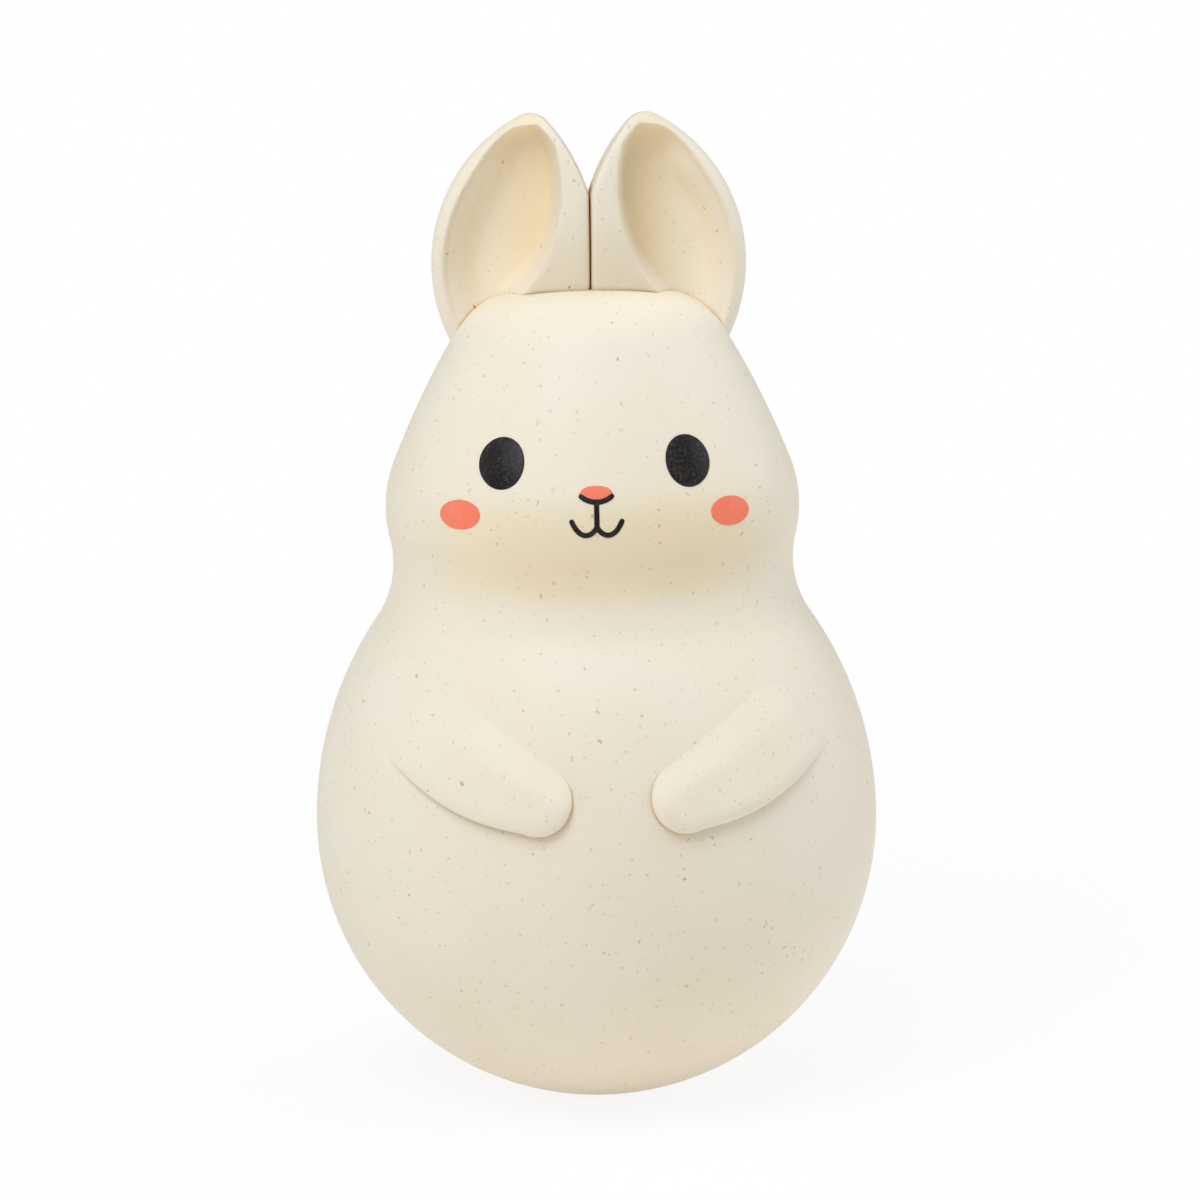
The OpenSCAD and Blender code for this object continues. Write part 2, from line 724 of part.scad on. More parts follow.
bar_z = tray_top + bridge_clear;
lug_z = bar_z - lug_drop;
lug_hole_r = wire_r + hanger_r - sqrt(pow(hanger_r, 2) - pow(lug_t / 2, 2)) + hang_gap;
lug_r = lug_hole_r + lug_rim;
hanger_z = lug_z - hanger_r;
eye_top_z = hanger_z - hanger_r + 2 * wire_r + hang_gap;
striker_eye_z = eye_top_z - striker_eye_r;
ball_z = hanger_z - ball_drop;

module chime_bridge() {
    color(white) difference() {
        union() {
            at_legs() translate([-bridge_w / 2, -leg_t / 2, tray_top]) cube([bridge_w, leg_t, bridge_clear + bar_t]);
            translate([-bridge_w / 2, -leg_y, bar_z]) cube([bridge_w, 2 * leg_y, bar_t]);
            translate([-lug_t / 2, 0, lug_z]) rotate([0, 90, 0]) cylinder(r = lug_r, h = lug_t);
            translate([-lug_t / 2, -lug_r, lug_z]) cube([lug_t, 2 * lug_r, lug_drop + 1]);
        }
        translate([-far, 0, lug_z]) rotate([0, 90, 0]) cylinder(r = lug_hole_r, h = 2 * far);
        at_legs() translate([0, 0, tray_z]) cylinder(r = pilot_r, h = short_screw_l + 1);
    }
}

module bridge_screws() color(steel) at_legs() translate([0, 0, tray_z]) rotate([180, 0, 0]) screw(short_screw_l);

module hanger_ring() {
    color(steel) translate([0, 0, hanger_z]) rotate([90, 0, 0]) rotate_extrude()
        translate([hanger_r, 0]) circle(wire_r);
}

module striker_wire() {
    color(steel) {
        translate([0, 0, striker_eye_z]) rotate([0, 90, 0]) rotate_extrude()
            translate([striker_eye_r, 0]) circle(wire_r);
        translate([0, 0, ball_z]) cylinder(r = wire_r, h = striker_eye_z - striker_eye_r - ball_z);
    }
}

module striker_ball() {
    color(beech) difference() {
        translate([0, 0, ball_z]) sphere(ball_r);
        translate([0, 0, ball_z]) cylinder(r = wire_r + close_fit, h = far);
    }
}

front_shell();
back_shell();
left_ear();
right_ear();
left_eye();
right_eye();
left_cheek();
right_cheek();
nose();
mouth();
case_screws();
screw_plugs();
ballast_weight();
chime_tray();
ballast_screws();
for (k = [1 : 4]) chime_rod(k - 1);
chime_bridge();
bridge_screws();
hanger_ring();
striker_wire();
striker_ball();
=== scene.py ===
import json
import math

import bmesh
import bpy
import numpy as np
from mathutils import Matrix, Vector


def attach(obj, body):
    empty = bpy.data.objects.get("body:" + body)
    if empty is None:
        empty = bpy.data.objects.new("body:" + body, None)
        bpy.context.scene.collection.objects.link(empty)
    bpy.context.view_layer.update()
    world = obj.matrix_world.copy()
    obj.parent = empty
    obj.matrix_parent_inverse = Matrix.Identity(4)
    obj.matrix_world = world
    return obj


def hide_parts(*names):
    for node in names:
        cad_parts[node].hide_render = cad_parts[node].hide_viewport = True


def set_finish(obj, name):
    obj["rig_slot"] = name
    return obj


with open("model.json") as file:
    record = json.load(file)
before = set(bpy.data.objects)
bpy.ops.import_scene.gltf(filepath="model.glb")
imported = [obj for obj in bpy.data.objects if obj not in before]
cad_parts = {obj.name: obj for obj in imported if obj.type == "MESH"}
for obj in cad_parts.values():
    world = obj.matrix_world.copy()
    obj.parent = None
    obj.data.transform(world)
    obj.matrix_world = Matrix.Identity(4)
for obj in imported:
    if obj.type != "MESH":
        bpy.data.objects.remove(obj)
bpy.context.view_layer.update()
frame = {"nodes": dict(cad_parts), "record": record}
nodes = frame["nodes"]
mm = 0.001
print("frame loaded,", len(nodes), "nodes")


# small geometry helpers, all in millimetres until a mesh is made

def unit(angle):
    return np.array([math.cos(math.radians(angle)), math.sin(math.radians(angle))])


def bearing(v):
    return math.degrees(math.atan2(v[1], v[0]))


def upperMeet(a, ra, b, rb):  # the upper of the two points at ra from a and rb from b
    d = b - a
    gap = np.linalg.norm(d)
    along = (ra * ra - rb * rb + gap * gap) / (2 * gap)
    across = math.sqrt(ra * ra - along * along)
    u = d / gap
    foot, side = a + along * u, across * np.array([-u[1], u[0]])
    return max(foot + side, foot - side, key=lambda p: p[1])


def clamp(t):
    return min(1.0, max(0.0, t))


def ease(t):  # smooth from 0 to 1
    t = clamp(t)
    return t * t * (3 - 2 * t)


def dropIn(t, soft):  # falls away fast behind a rounded edge, then levels out
    way = (math.hypot(clamp(t), soft) - soft) / (math.hypot(1, soft) - soft)
    return 1 - (1 - way) ** 2


def halfChord(r, d):  # half of the chord at d from the middle of a circle
    return math.sqrt(max(0.0, r * r - d * d))


def bowed(u, fullness):  # 1 in the middle and 0 at -1 and 1, squarer with more fullness
    return max(0.0, 1 - abs(u) ** fullness) ** (1 / fullness)


def spread(a, b, count):  # count places after a, up to and with b
    return [a + (b - a) * (k + 1) / count for k in range(count)]


def smoothPiece(piece, sharp):  # edges that turn by more than sharp degrees stay crisp
    mesh = piece.data
    mesh.polygons.foreach_set("use_smooth", [True] * len(mesh.polygons))
    mesh.set_sharp_from_angle(angle=math.radians(sharp))


def makePiece(name, build, body, slot, replaces=(), sharp=40):
    mesh = bpy.data.meshes.new(name)
    mesh.from_pydata(build.metres(), [], build.faces)
    mesh.validate()
    bm = bmesh.new()
    bm.from_mesh(mesh)
    bmesh.ops.remove_doubles(bm, verts=bm.verts, dist=0.001 * mm)
    bmesh.ops.recalc_face_normals(bm, faces=bm.faces)
    bm.to_mesh(mesh)
    bm.free()
    piece = bpy.data.objects.new(name, mesh)
    bpy.context.scene.collection.objects.link(piece)
    smoothPiece(piece, sharp)
    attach(piece, body)
    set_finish(piece, slot)
    if replaces:
        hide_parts(*replaces)
    return piece


class Build:  # gathers vertices and faces of one piece
    def __init__(self):
        self.verts, self.faces = [], []

    def metres(self):
        return [tuple(c * mm for c in v) for v in self.verts]

    def grid(self, rows, closeAcross=False, closeAlong=False):
        base, across, along = len(self.verts), len(rows[0]), len(rows)
        for row in rows:
            self.verts.extend(row)
        for r in range(along if closeAlong else along - 1):
            here, there = base + r * across, base + ((r + 1) % along) * across
            for c in range(across if closeAcross else across - 1):
                beside = (c + 1) % across
                self.faces.append((here + c, here + beside, there + beside, there + c))

    def fan(self, ring, tip):
        base = len(self.verts)
        self.verts.extend(ring)
        self.verts.append(tip)
        for k in range(len(ring)):
            self.faces.append((base + k, base + (k + 1) % len(ring), base + len(ring)))

    def lathe(self, profile, origin, along, sides=48, closed=False):  # profile of (radius, distance along)
        axis = Vector(along).normalized()
        side = axis.orthogonal().normalized()
        other = axis.cross(side)
        rows = []
        for k in range(sides):
            turn = 2 * math.pi * k / sides
            out = side * math.cos(turn) + other * math.sin(turn)
            rows.append([tuple(Vector(origin) + out * r + axis * h) for r, h in profile])
        self.grid(rows, closeAcross=closed, closeAlong=True)


# the body's outline: tangent arcs up the side, the same sizes as the solids

bodyShape = {
    "bellyR": 40.0, "footR": 3.0, "shoulderR": 51.0, "neckR": 28.4, "neckFilletR": 14.8,
    "headR": 29.35, "cheekR": 17.2, "browTilt": 21.0, "browR": 118.0, "crownR": 11.0,
    "domeR": 60.0, "crownRise": 31.4, "wall": 2.2,
    "stepUp": 0.8, "stepRound": 150,  # mesh spacing up the outside, and steps round each half
    "innerUp": 2.4, "innerRound": 60,  # the same on the inside
    "seamSteps": (0.0, 0.002, 0.004, 0.007, 0.011, 0.018),  # finer steps beside the seam, in half turns
    "seamRound": 0.32, "seamDip": 0.14, "seamLeast": 1.0,  # the rounded edge along the seam, beyond this radius
}


def outlineArcs(s):
    bellyZ = math.sqrt(s["bellyR"] ** 2 - s["footR"] ** 2)
    belly = np.array([0.0, bellyZ])
    shoulder = np.array([s["bellyR"] - s["shoulderR"], bellyZ])
    neckX = s["neckR"] + s["neckFilletR"]
    neckRise = math.sqrt((s["shoulderR"] + s["neckFilletR"]) ** 2 - (neckX - shoulder[0]) ** 2)
    neck = np.array([neckX, bellyZ + neckRise])
    cheekX = s["headR"] - s["cheekR"]
    cheekRise = math.sqrt((s["cheekR"] + s["neckFilletR"]) ** 2 - (neckX - cheekX) ** 2)
    cheek = np.array([cheekX, neck[1] + cheekRise])
    brow = cheek + (s["cheekR"] - s["browR"]) * unit(s["browTilt"])
    top = cheek[1] + s["crownRise"]
    dome = np.array([0.0, top - s["domeR"]])
    crown = upperMeet(brow, s["browR"] - s["crownR"], dome, s["domeR"] - s["crownR"])
    neckLow, neckHigh = bearing(neck - shoulder), bearing(neck - cheek)
    crownLow, crownHigh = bearing(crown - brow), bearing(crown - dome)
    foot = bearing(np.array([s["footR"], -bellyZ]))
    return [  # middle, radius, 1 for a bulge or -1 for a hollow, first and last angle
        (belly, s["bellyR"], 1, foot, 0.0),
        (shoulder, s["shoulderR"], 1, 0.0, neckLow),
        (neck, s["neckFilletR"], -1, neckLow, neckHigh),
        (cheek, s["cheekR"], 1, neckHigh, s["browTilt"]),
        (brow, s["browR"], 1, s["browTilt"], crownLow),
        (crown, s["crownR"], 1, crownLow, crownHigh),
        (dome, s["domeR"], 1, crownHigh, 90.0),
    ], bellyZ, cheek[1], top


arcs, bellyZ, cheekZ, headTop = outlineArcs(bodyShape)


def sidePoints(inset, step):  # the outline from the middle of the foot to the top of the head
    leastStep = 0.02
    points = [np.array([0.0, inset])]
    for centre, r, sign, first, last in arcs:
        count = max(2, math.ceil(r * math.radians(abs(last - first)) / step))
        for k in range(count + 1):
            p = centre + (sign * r - inset) * unit(first + (last - first) * k / count)
            if p[1] >= inset and np.linalg.norm(p - points[-1]) > leastStep:
                points.append(p)
    points[-1][0] = 0.0
    return points


def bodyRadius(z):  # radius of the outside at a height, and its slope
    for centre, r, sign, first, last in arcs:
        if z <= (centre + sign * r * unit(last))[1] + 1e-9:
            rise = z - centre[1]
            chord = halfChord(r, rise)
            return centre[0] + sign * chord, -sign * rise / max(chord, 1e-6)
    return 0.0, 0.0


def midWall(z):  # radius of the middle of the wall at a height
    return bodyRadius(z)[0] - bodyShape["wall"] / 2


def onFront(x, z, lift):  # a point of the front of the body, lifted along its normal
    r, slope = bodyRadius(z)
    y = -halfChord(r, x)
    n = Vector((x / r, y / r, -slope)).normalized()
    return (x + n.x * lift, y + n.y * lift, z + n.z * lift)


# the two halves of the case; turn is -1 for the front and 1 for the back

def sweep(profile, angles, turn):  # rows of points round one half
    return [[(r * math.cos(a), turn * r * math.sin(a), z) for r, z in profile] for a in angles]


def halfShell(turn):
    s = bodyShape
    shell = Build()
    inner, outer = sidePoints(s["wall"], s["innerUp"]), sidePoints(0.0, s["stepUp"])
    fine = list(s["seamSteps"])
    plain = [fine[-1] + (1 - 2 * fine[-1]) * k / s["stepRound"] for k in range(1, s["stepRound"])]
    rows = []
    for share in fine + plain + [1 - c for c in reversed(fine)]:
        a = math.pi * share
        row = []
        for r, z in outer:
            away = r * math.sin(a)  # distance from the seam
            dip = s["seamDip"] * max(0.0, 1 - away / s["seamRound"]) ** 2 if r > s["seamLeast"] else 0.0
            row.append(((r - dip) * math.cos(a), turn * max(0.0, away), z))
        rows.append(row)
    shell.grid(rows)
    shell.grid(sweep(inner, [math.pi * k / s["innerRound"] for k in range(s["innerRound"] + 1)], turn))
    for side in (1, -1):  # the flat face on the seam, between outside and inside
        ring = [(side * (r - s["seamDip"] * (r > s["seamLeast"])), 0.0, z) for r, z in outer]
        ring += [(side * r, 0.0, z) for r, z in reversed(inner)]
        base = len(shell.verts)
        shell.verts.extend(ring)
        shell.faces.append(tuple(range(base, base + len(ring))))
    return shell


caseInside = {  # sizes of the ledges, posts and wells, as in the solids
    "trayZ": 15.2, "trayTop": 17.6, "trayGap": 0.2, "ledgeIn": 26.8, "ledgeThick": 1.6, "ledgeSteps": 60,
    "ledgeEnd": 0.2,  # degrees that each ledge stops short of the seam
    "lowScrew": (27.0, 27.0), "highScrew": (15.0, cheekZ + 11.6),
    "postR": 4.0, "pilotR": 1.35, "clearR": 1.5, "wellR": 2.7, "wellLong": 45.0, "seatY": 6.0,
}


def addLedges(shell, turn):
    c = caseInside
    angles = np.radians(np.linspace(c["ledgeEnd"], 180 - c["ledgeEnd"], c["ledgeSteps"] + 1))
    for low in (c["trayZ"] - c["ledgeThick"], c["trayTop"] + c["trayGap"]):
        high = low + c["ledgeThick"]
        profile = [(c["ledgeIn"], low), (midWall(low), low), (midWall(high), high), (c["ledgeIn"], high)]
        base = len(shell.verts)
        shell.grid(sweep(profile, angles, turn), closeAcross=True)
        for end in (base, len(shell.verts) - len(profile)):
            shell.faces.append(tuple(end + k for k in range(len(profile))))


def screwSpots():  # place of each screw, and how far its posts reach from the seam
    c = caseInside
    spots = [(side * x, z) for side in (-1, 1) for x, z in (c["lowScrew"], c["highScrew"])]
    return [(x, z, halfChord(midWall(z), abs(x) + c["postR"])) for x, z in spots]


# arms: a pad on each side of the belly, crisp below and round the paw, soft above and at the shoulder

arms = {
    "paw": (10.3, bellyZ + 10.3), "pawR": 4.9, "shoulder": (26.0, bellyZ + 18.6), "shoulderR": 6.7,
    "shift": 0.8,  # both arms sit a little to the toy's left
    "bulge": 1.3, "pawSoft": 0.55,  # of the lower side; the part of the paw's edge that turns from soft to crisp
    "pawProud": 2.0, "midProud": 1.5, "proudSpan": 0.8, "midShare": 0.85,
    "edgeStep": 0.35, "roundEdge": 2.4, "lip": (0.5, 0.42, 0.2, 0.05),  # the crisp edge, and its overhang
    "fadeFrom": 0.72, "fadeSpan": 0.62, "sunk": 0.45, "root": 1.2,  # the shoulder sinks into the body
    "rings": 26, "ringPower": 1.6, "sides": 56,  # rings are closer near the edge
}


def armOutline(s):  # points round the pad: outline, place on the middle line, and how much it is an upper edge
    a, b = np.array(s["paw"]), np.array(s["shoulder"])
    way = bearing(b - a)
    length = np.linalg.norm(b - a)
    turn = math.degrees(math.acos((s["pawR"] - s["shoulderR"]) / length))
    points = []
    for k in range(s["sides"]):  # round the paw, from the upper side to the lower
        angle = way + turn + (360 - 2 * turn) * k / s["sides"]
        points.append((a + s["pawR"] * unit(angle), a, 1 - ease(k / s["sides"] / s["pawSoft"])))
    down = unit(way - turn)
    for k in range(s["sides"]):  # along the lower side
        t = k / s["sides"]
        mid = a + (b - a) * t
        low = a + s["pawR"] * down + (b + s["shoulderR"] * down - a - s["pawR"] * down) * t
        points.append((low + s["bulge"] * math.sin(math.pi * t) * down, mid, 0.0))
    for k in range(s["sides"] // 2):  # round the shoulder
        angle = way - turn + 2 * turn * k / (s["sides"] // 2)
        points.append((b + s["shoulderR"] * unit(angle), b, ease(2 * k / s["sides"])))
    up = unit(way + turn)
    for k in range(s["sides"]):  # back along the upper side
        t = 1 - k / s["sides"]
        mid = a + (b - a) * t
        points.append((a + s["pawR"] * up + (b - a + (s["shoulderR"] - s["pawR"]) * up) * t, mid, 1.0))
    return points, a, (b - a) / length, length


def addArm(shell, side):
    s = arms
    points, paw, way, length = armOutline(s)
    lips = len(s["lip"])
    rows, under = [], []
    for k in range(s["rings"] + 1):
        share = max(0.0, (k - lips) / (s["rings"] - lips)) ** s["ringPower"]
        row, low = [], []
        for edge, mid, upper in points:
            p = edge + (mid - edge) * share
            inward = np.linalg.norm(mid - edge) * share
            t = float((p - paw) @ way) / length  # 0 at the paw and 1 at the shoulder
            proud = s["pawProud"] + (s["midProud"] - s["pawProud"]) * ease(t / s["proudSpan"])
            fade = 1 - ease((t - s["fadeFrom"]) / s["fadeSpan"])
            rolled = halfChord(1.0, 1 - min(1.0, inward / s["roundEdge"]))
            crisp = (s["edgeStep"] + (1 - s["edgeStep"]) * rolled) * (1 - (1 - s["midShare"]) * ease(share))
            soft = s["midShare"] * (ease(share) + math.sin(math.pi / 2 * share)) / 2
            if k < lips:  # the lower edge and the paw overhang a little
                p = edge + (mid - edge) / np.linalg.norm(mid - edge) * s["lip"][k] * (1 - upper) * fade
                crisp *= k / lips
            height = (proud * (soft * upper + crisp * (1 - upper)) + s["sunk"]) * fade - s["sunk"]
            row.append(onFront(side * p[0] + s["shift"], p[1], height))
            low.append(onFront(side * p[0] + s["shift"], p[1], -s["root"]))
        rows.append(row)
        under.append(low)
    shell.grid(rows, closeAcross=True)
    shell.grid([rows[0], under[0]], closeAcross=True)
    shell.grid(under, closeAcross=True)


def makeFrontShell():
    c = caseInside
    shell = halfShell(-1)
    addLedges(shell, -1)
    for side in (1, -1):
        addArm(shell, side)
    for x, z, deep in screwSpots():
        profile = [(c["postR"], 0.0), (c["postR"], deep), (c["pilotR"], deep), (c["pilotR"], 0.0)]
        shell.lathe(profile, (x, 0.0, z), (0, -1, 0), closed=True)
    return makePiece("frontShell", shell, "toy", "shell", ["front_shell"])


def makeBackShell():
    c = caseInside
    piece = makePiece("backShell", halfShell(1), "toy", "shell", ["back_shell"])
    cutter, inside = Build(), Build()
    addLedges(inside, 1)
    for x, z, deep in screwSpots():
        well = [(0.0, 0.0), (c["wellR"], 0.0), (c["wellR"], c["wellLong"]), (0.0, c["wellLong"])]
        cutter.lathe(well, (x, c["seatY"], z), (0, 1, 0))
        post = [
            (c["postR"], 0.0), (c["postR"], deep), (c["wellR"], deep), (c["wellR"], c["seatY"]),
            (c["clearR"], c["seatY"]), (c["clearR"], 0.0),
        ]
        inside.lathe(post, (x, 0.0, z), (0, 1, 0), closed=True)
    wells = makePiece("wells", cutter, "toy", "shell")
    cut = piece.modifiers.new("wells", "BOOLEAN")
    cut.operation, cut.object, cut.solver = "DIFFERENCE", wells, "EXACT"
    applyModifiers(piece)
    bpy.data.objects.remove(wells)
    joinInto(piece, inside)
    smoothPiece(piece, 40)
    return piece


def applyModifiers(piece):
    graph = bpy.context.evaluated_depsgraph_get()
    mesh = bpy.data.meshes.new_from_object(piece.evaluated_get(graph))
    piece.modifiers.clear()
    piece.data = mesh


def joinInto(piece, build):  # adds more geometry to a finished piece
    extra = bpy.data.meshes.new("extra")
    extra.from_pydata(build.metres(), [], build.faces)
    bm = bmesh.new()
    bm.from_mesh(extra)
    bmesh.ops.recalc_face_normals(bm, faces=bm.faces)
    bm.from_mesh(piece.data)
    bm.to_mesh(piece.data)
    bm.free()
    bpy.data.meshes.remove(extra)


frontShell = makeFrontShell()
backShell = makeBackShell()
print("case halves made:", len(frontShell.data.polygons), "and", len(backShell.data.polygons), "faces")


# ears: a cupped leaf with a rounded rim, a broad inner band and a scoop that is deepest beside it

ears = {
    "sideR": 24.0, "reach": 22.25, "midRise": 2.9, "innerR": 28.0, "partRise": 13.3, "partTilt": 17.5,
    "tipR": 3.2, "gap": 0.03, "back": 4.6, "front": 5.4, "wall": 1.8,
    "skew": 1.6, "taper": 0.6, "innerFull": 10.0, "outerFull": 2.2,
    "scoopR": 23.0, "band": 3.8, "bandRise": 14.3, "scoopDrop": 15.0,
    "cornerR": 5.0, "cornerCut": 0.6, "cornerPower": 1.4,  # the round top of the scoop
    "rim": 1.3, "edgeStep": 1.2, "edgeShare": 0.3, "riseStep": 5.5,  # a small step at the rim, then a slow fall
    "rimTip": 0.5, "riseTip": 2.6, "tipRise": (15.0, 22.0),  # rim and fall at the tip
    "wallStep": 1.7, "wallRound": 0.14, "footStep": 1.5, "footRise": (-4.0, 6.0),  # the wall beside the band
    "footFront": 3.2, "frontRise": (-2.0, 10.0), "footFill": 1.5, "fillRise": (-8.0, 6.0),  # flatter at the head
    "innerEdge": (0.15, 0.6), "outerEdge": (0.7, 0.95),  # shares of the width that hold the scoop's edges
    "rows": 84, "backSteps": 36, "bandSteps": 14, "wallSteps": 16, "floorSteps": 12, "edgeSteps": 6, "rimSteps": 8,
    "sink": 0.6, "search": (-12.0, 1.0), "halvings": 24,  # how the foot of the ear is found on the head
    "postX": 4.9, "postR": 2.6, "postRise": 1.0, "footR": 4.2, "footThick": 1.6, "footGap": 0.1,
}


class EarForm:
    def __init__(self, s):
        self.s = s
        self.sideC = np.array([s["reach"] - s["sideR"], headTop + s["midRise"]])
        self.partZ = headTop + s["partRise"]
        self.innerC = np.array([s["gap"], self.partZ]) + s["innerR"] * unit(-s["partTilt"])
        self.tipC = upperMeet(self.sideC, s["sideR"] - s["tipR"], self.innerC, s["innerR"] - s["tipR"])
        self.tipOutZ = self.sideC[1] + s["sideR"] * unit(bearing(self.tipC - self.sideC))[1]
        self.tipInZ = self.innerC[1] + s["innerR"] * unit(bearing(self.tipC - self.innerC))[1]
        self.top = self.tipC[1] + s["tipR"]
        self.scoopC = np.array([s["band"] + s["scoopR"], headTop + s["bandRise"]])

    def climb(self, z, stretch):  # 0 below a stretch of the ear's height and 1 above it
        low, high = self.s[stretch]
        return ease((z - headTop - low) / (high - low))

    def sideR(self, z):  # the scoop's outer edge, nearer the outline at the tip
        s = self.s
        return s["sideR"] - s["rim"] - (s["rimTip"] - s["rim"]) * self.climb(z, "tipRise")

    def wallStep(self, z):  # the inner wall, gentler toward the head
        return self.s["wallStep"] + self.s["footStep"] * (1 - self.climb(z, "footRise"))

    def scoopZ(self, z):  # height over the middle of the scoop's inner arc, which runs out straight below
        return max(z - self.scoopC[1], -self.s["scoopDrop"])

    def outerX(self, z):
        if z < self.tipOutZ:
            return self.sideC[0] + halfChord(self.s["sideR"], z - self.sideC[1])
        return self.tipC[0] + halfChord(self.s["tipR"], z - self.tipC[1])

    def innerX(self, z):
        if z < self.partZ:
            return self.s["gap"]
        if z < self.tipInZ:
            return self.innerC[0] - halfChord(self.s["innerR"], z - self.innerC[1])
        return self.tipC[0] - halfChord(self.s["tipR"], z - self.tipC[1])

    def scoopDepth(self, x, z):  # 0 on the rim, 1 on the floor of the scoop
        s = self.s
        edge = self.sideR(z) - math.hypot(x - self.sideC[0], z - self.sideC[1])
        side = s["scoopR"] - math.hypot(x - self.scoopC[0], self.scoopZ(z))
        corner = max(0.0, 1 - edge / s["cornerR"]) * max(0.0, 1 - side / s["cornerR"])
        cut = s["cornerCut"] * s["cornerR"] * corner ** s["cornerPower"]
        edge, side = edge - cut, side - cut
        rise = s["riseStep"] + (s["riseTip"] - s["riseStep"]) * self.climb(z, "tipRise")
        rim = s["edgeShare"] * ease(edge / s["edgeStep"]) + (1 - s["edgeShare"]) * ease(edge / rise)
        return rim * dropIn(side / self.wallStep(z), s["wallRound"])

    def point(self, x, z, isBack):
        s = self.s
        xi, xo = self.innerX(z), self.outerX(z)
        u = min(1.0, max(-1.0, (2 * x - xi - xo) / max(xo - xi, 1e-6)))
        full = bowed(u, s["innerFull"] if u < 0 else s["outerFull"])
        size = min(1.0, (xo - xi) / s["reach"]) ** s["taper"]
        lean = s["skew"] * size * u
        back = lean + s["back"] * size * full
        if isBack:
            return (x, back, z)
        deep = s["footFront"] + (s["front"] - s["footFront"]) * self.climb(z, "frontRise")
        front = lean - deep * size * full
        fill = s["footFill"] * (1 - self.climb(z, "fillRise"))
        floor = max(front, back - s["wall"] * size - fill)
        return (x, front + (floor - front) * self.scoopDepth(x, z), z)

    def backX(self, z):
        xi, xo, n = self.innerX(z), self.outerX(z), self.s["backSteps"]
        return [(xi + xo) / 2 + (xo - xi) / 2 * math.cos(math.pi * k / n) for k in range(n)]

    def frontX(self, z):
        s = self.s
        xi, xo = self.innerX(z), self.outerX(z)
        inLow, inHigh = (xi + share * (xo - xi) for share in s["innerEdge"])
        outLow, outHigh = (xi + share * (xo - xi) for share in s["outerEdge"])
        scoopIn = self.scoopC[0] - halfChord(s["scoopR"], self.scoopZ(z))
        scoopOut = self.sideC[0] + halfChord(self.sideR(z), z - self.sideC[1])
        a = min(max(scoopIn, inLow), inHigh)
        d = min(max(scoopOut, outLow), outHigh)
        b = a + min(self.wallStep(z), (d - a) / 2)
        c = d - min(s["edgeStep"], (d - b) / 2)
        n, m = 2 * s["bandSteps"], 2 * s["rimSteps"]
        band = [xi + (a - xi) * (1 - math.cos(math.pi * k / n)) for k in range(s["bandSteps"])] + [a]
        scoop = spread(a, b, s["wallSteps"]) + spread(b, c, s["floorSteps"]) + spread(c, d, s["edgeSteps"])
        return band + scoop + [d + (xo - d) * math.sin(math.pi * k / m) for k in range(1, s["rimSteps"])]

    def column(self, index, z):
        backs = self.s["backSteps"]
        if index < backs:
            return self.point(self.backX(z)[index], z, True)
        return self.point(self.frontX(z)[index - backs], z, False)


def makeEar(name, node, side):
    s = ears
    form = EarForm(s)
    count = s["backSteps"] + len(form.frontX(headTop))
    starts = []
    for c in range(count):  # where each column of the ear leaves the head, a little below its surface
        low, high = (headTop + rise for rise in s["search"])
        for _ in range(s["halvings"]):
            z = (low + high) / 2
            x, y, _z = form.column(c, z)
            inside = z < headTop - s["sink"] and math.hypot(x, y) < bodyRadius(z)[0] - s["sink"]
            low, high = (z, high) if inside else (low, z)
        starts.append(low)
    ear = Build()
    rows = []
    for k in range(s["rows"]):
        rise = math.sin(math.pi / 2 * k / s["rows"])
        row = []
        for c in range(count):
            x, y, z = form.column(c, starts[c] + (form.top - starts[c]) * rise)
            row.append((side * x, y, z))
        rows.append(row)
    ear.grid(rows, closeAcross=True)
    ear.fan(rows[-1], (side * form.tipC[0], 0.0, form.top))
    ear.fan(list(reversed(rows[0])), tuple(np.mean(np.array(rows[0]), axis=0)))
    top = headTop + s["postRise"]
    under = headTop - bodyShape["wall"] - s["footGap"]  # the post goes through the wall and ends in a foot
    profile = [
        (0.0, top), (s["postR"], top), (s["postR"], under), (s["footR"], under),
        (s["footR"], under - s["footThick"]), (0.0, under - s["footThick"]),
    ]
    ear.lathe(profile, (side * s["postX"], 0.0, 0.0), (0, 0, 1))
    return makePiece(name, ear, "toy", "shell", [node], sharp=60)


leftEar = makeEar("leftEar", "left_ear", 1)
rightEar = makeEar("rightEar", "right_ear", -1)
print("ears made:", len(leftEar.data.polygons), "faces each")


# the printed face: thin films of ink with a soft edge

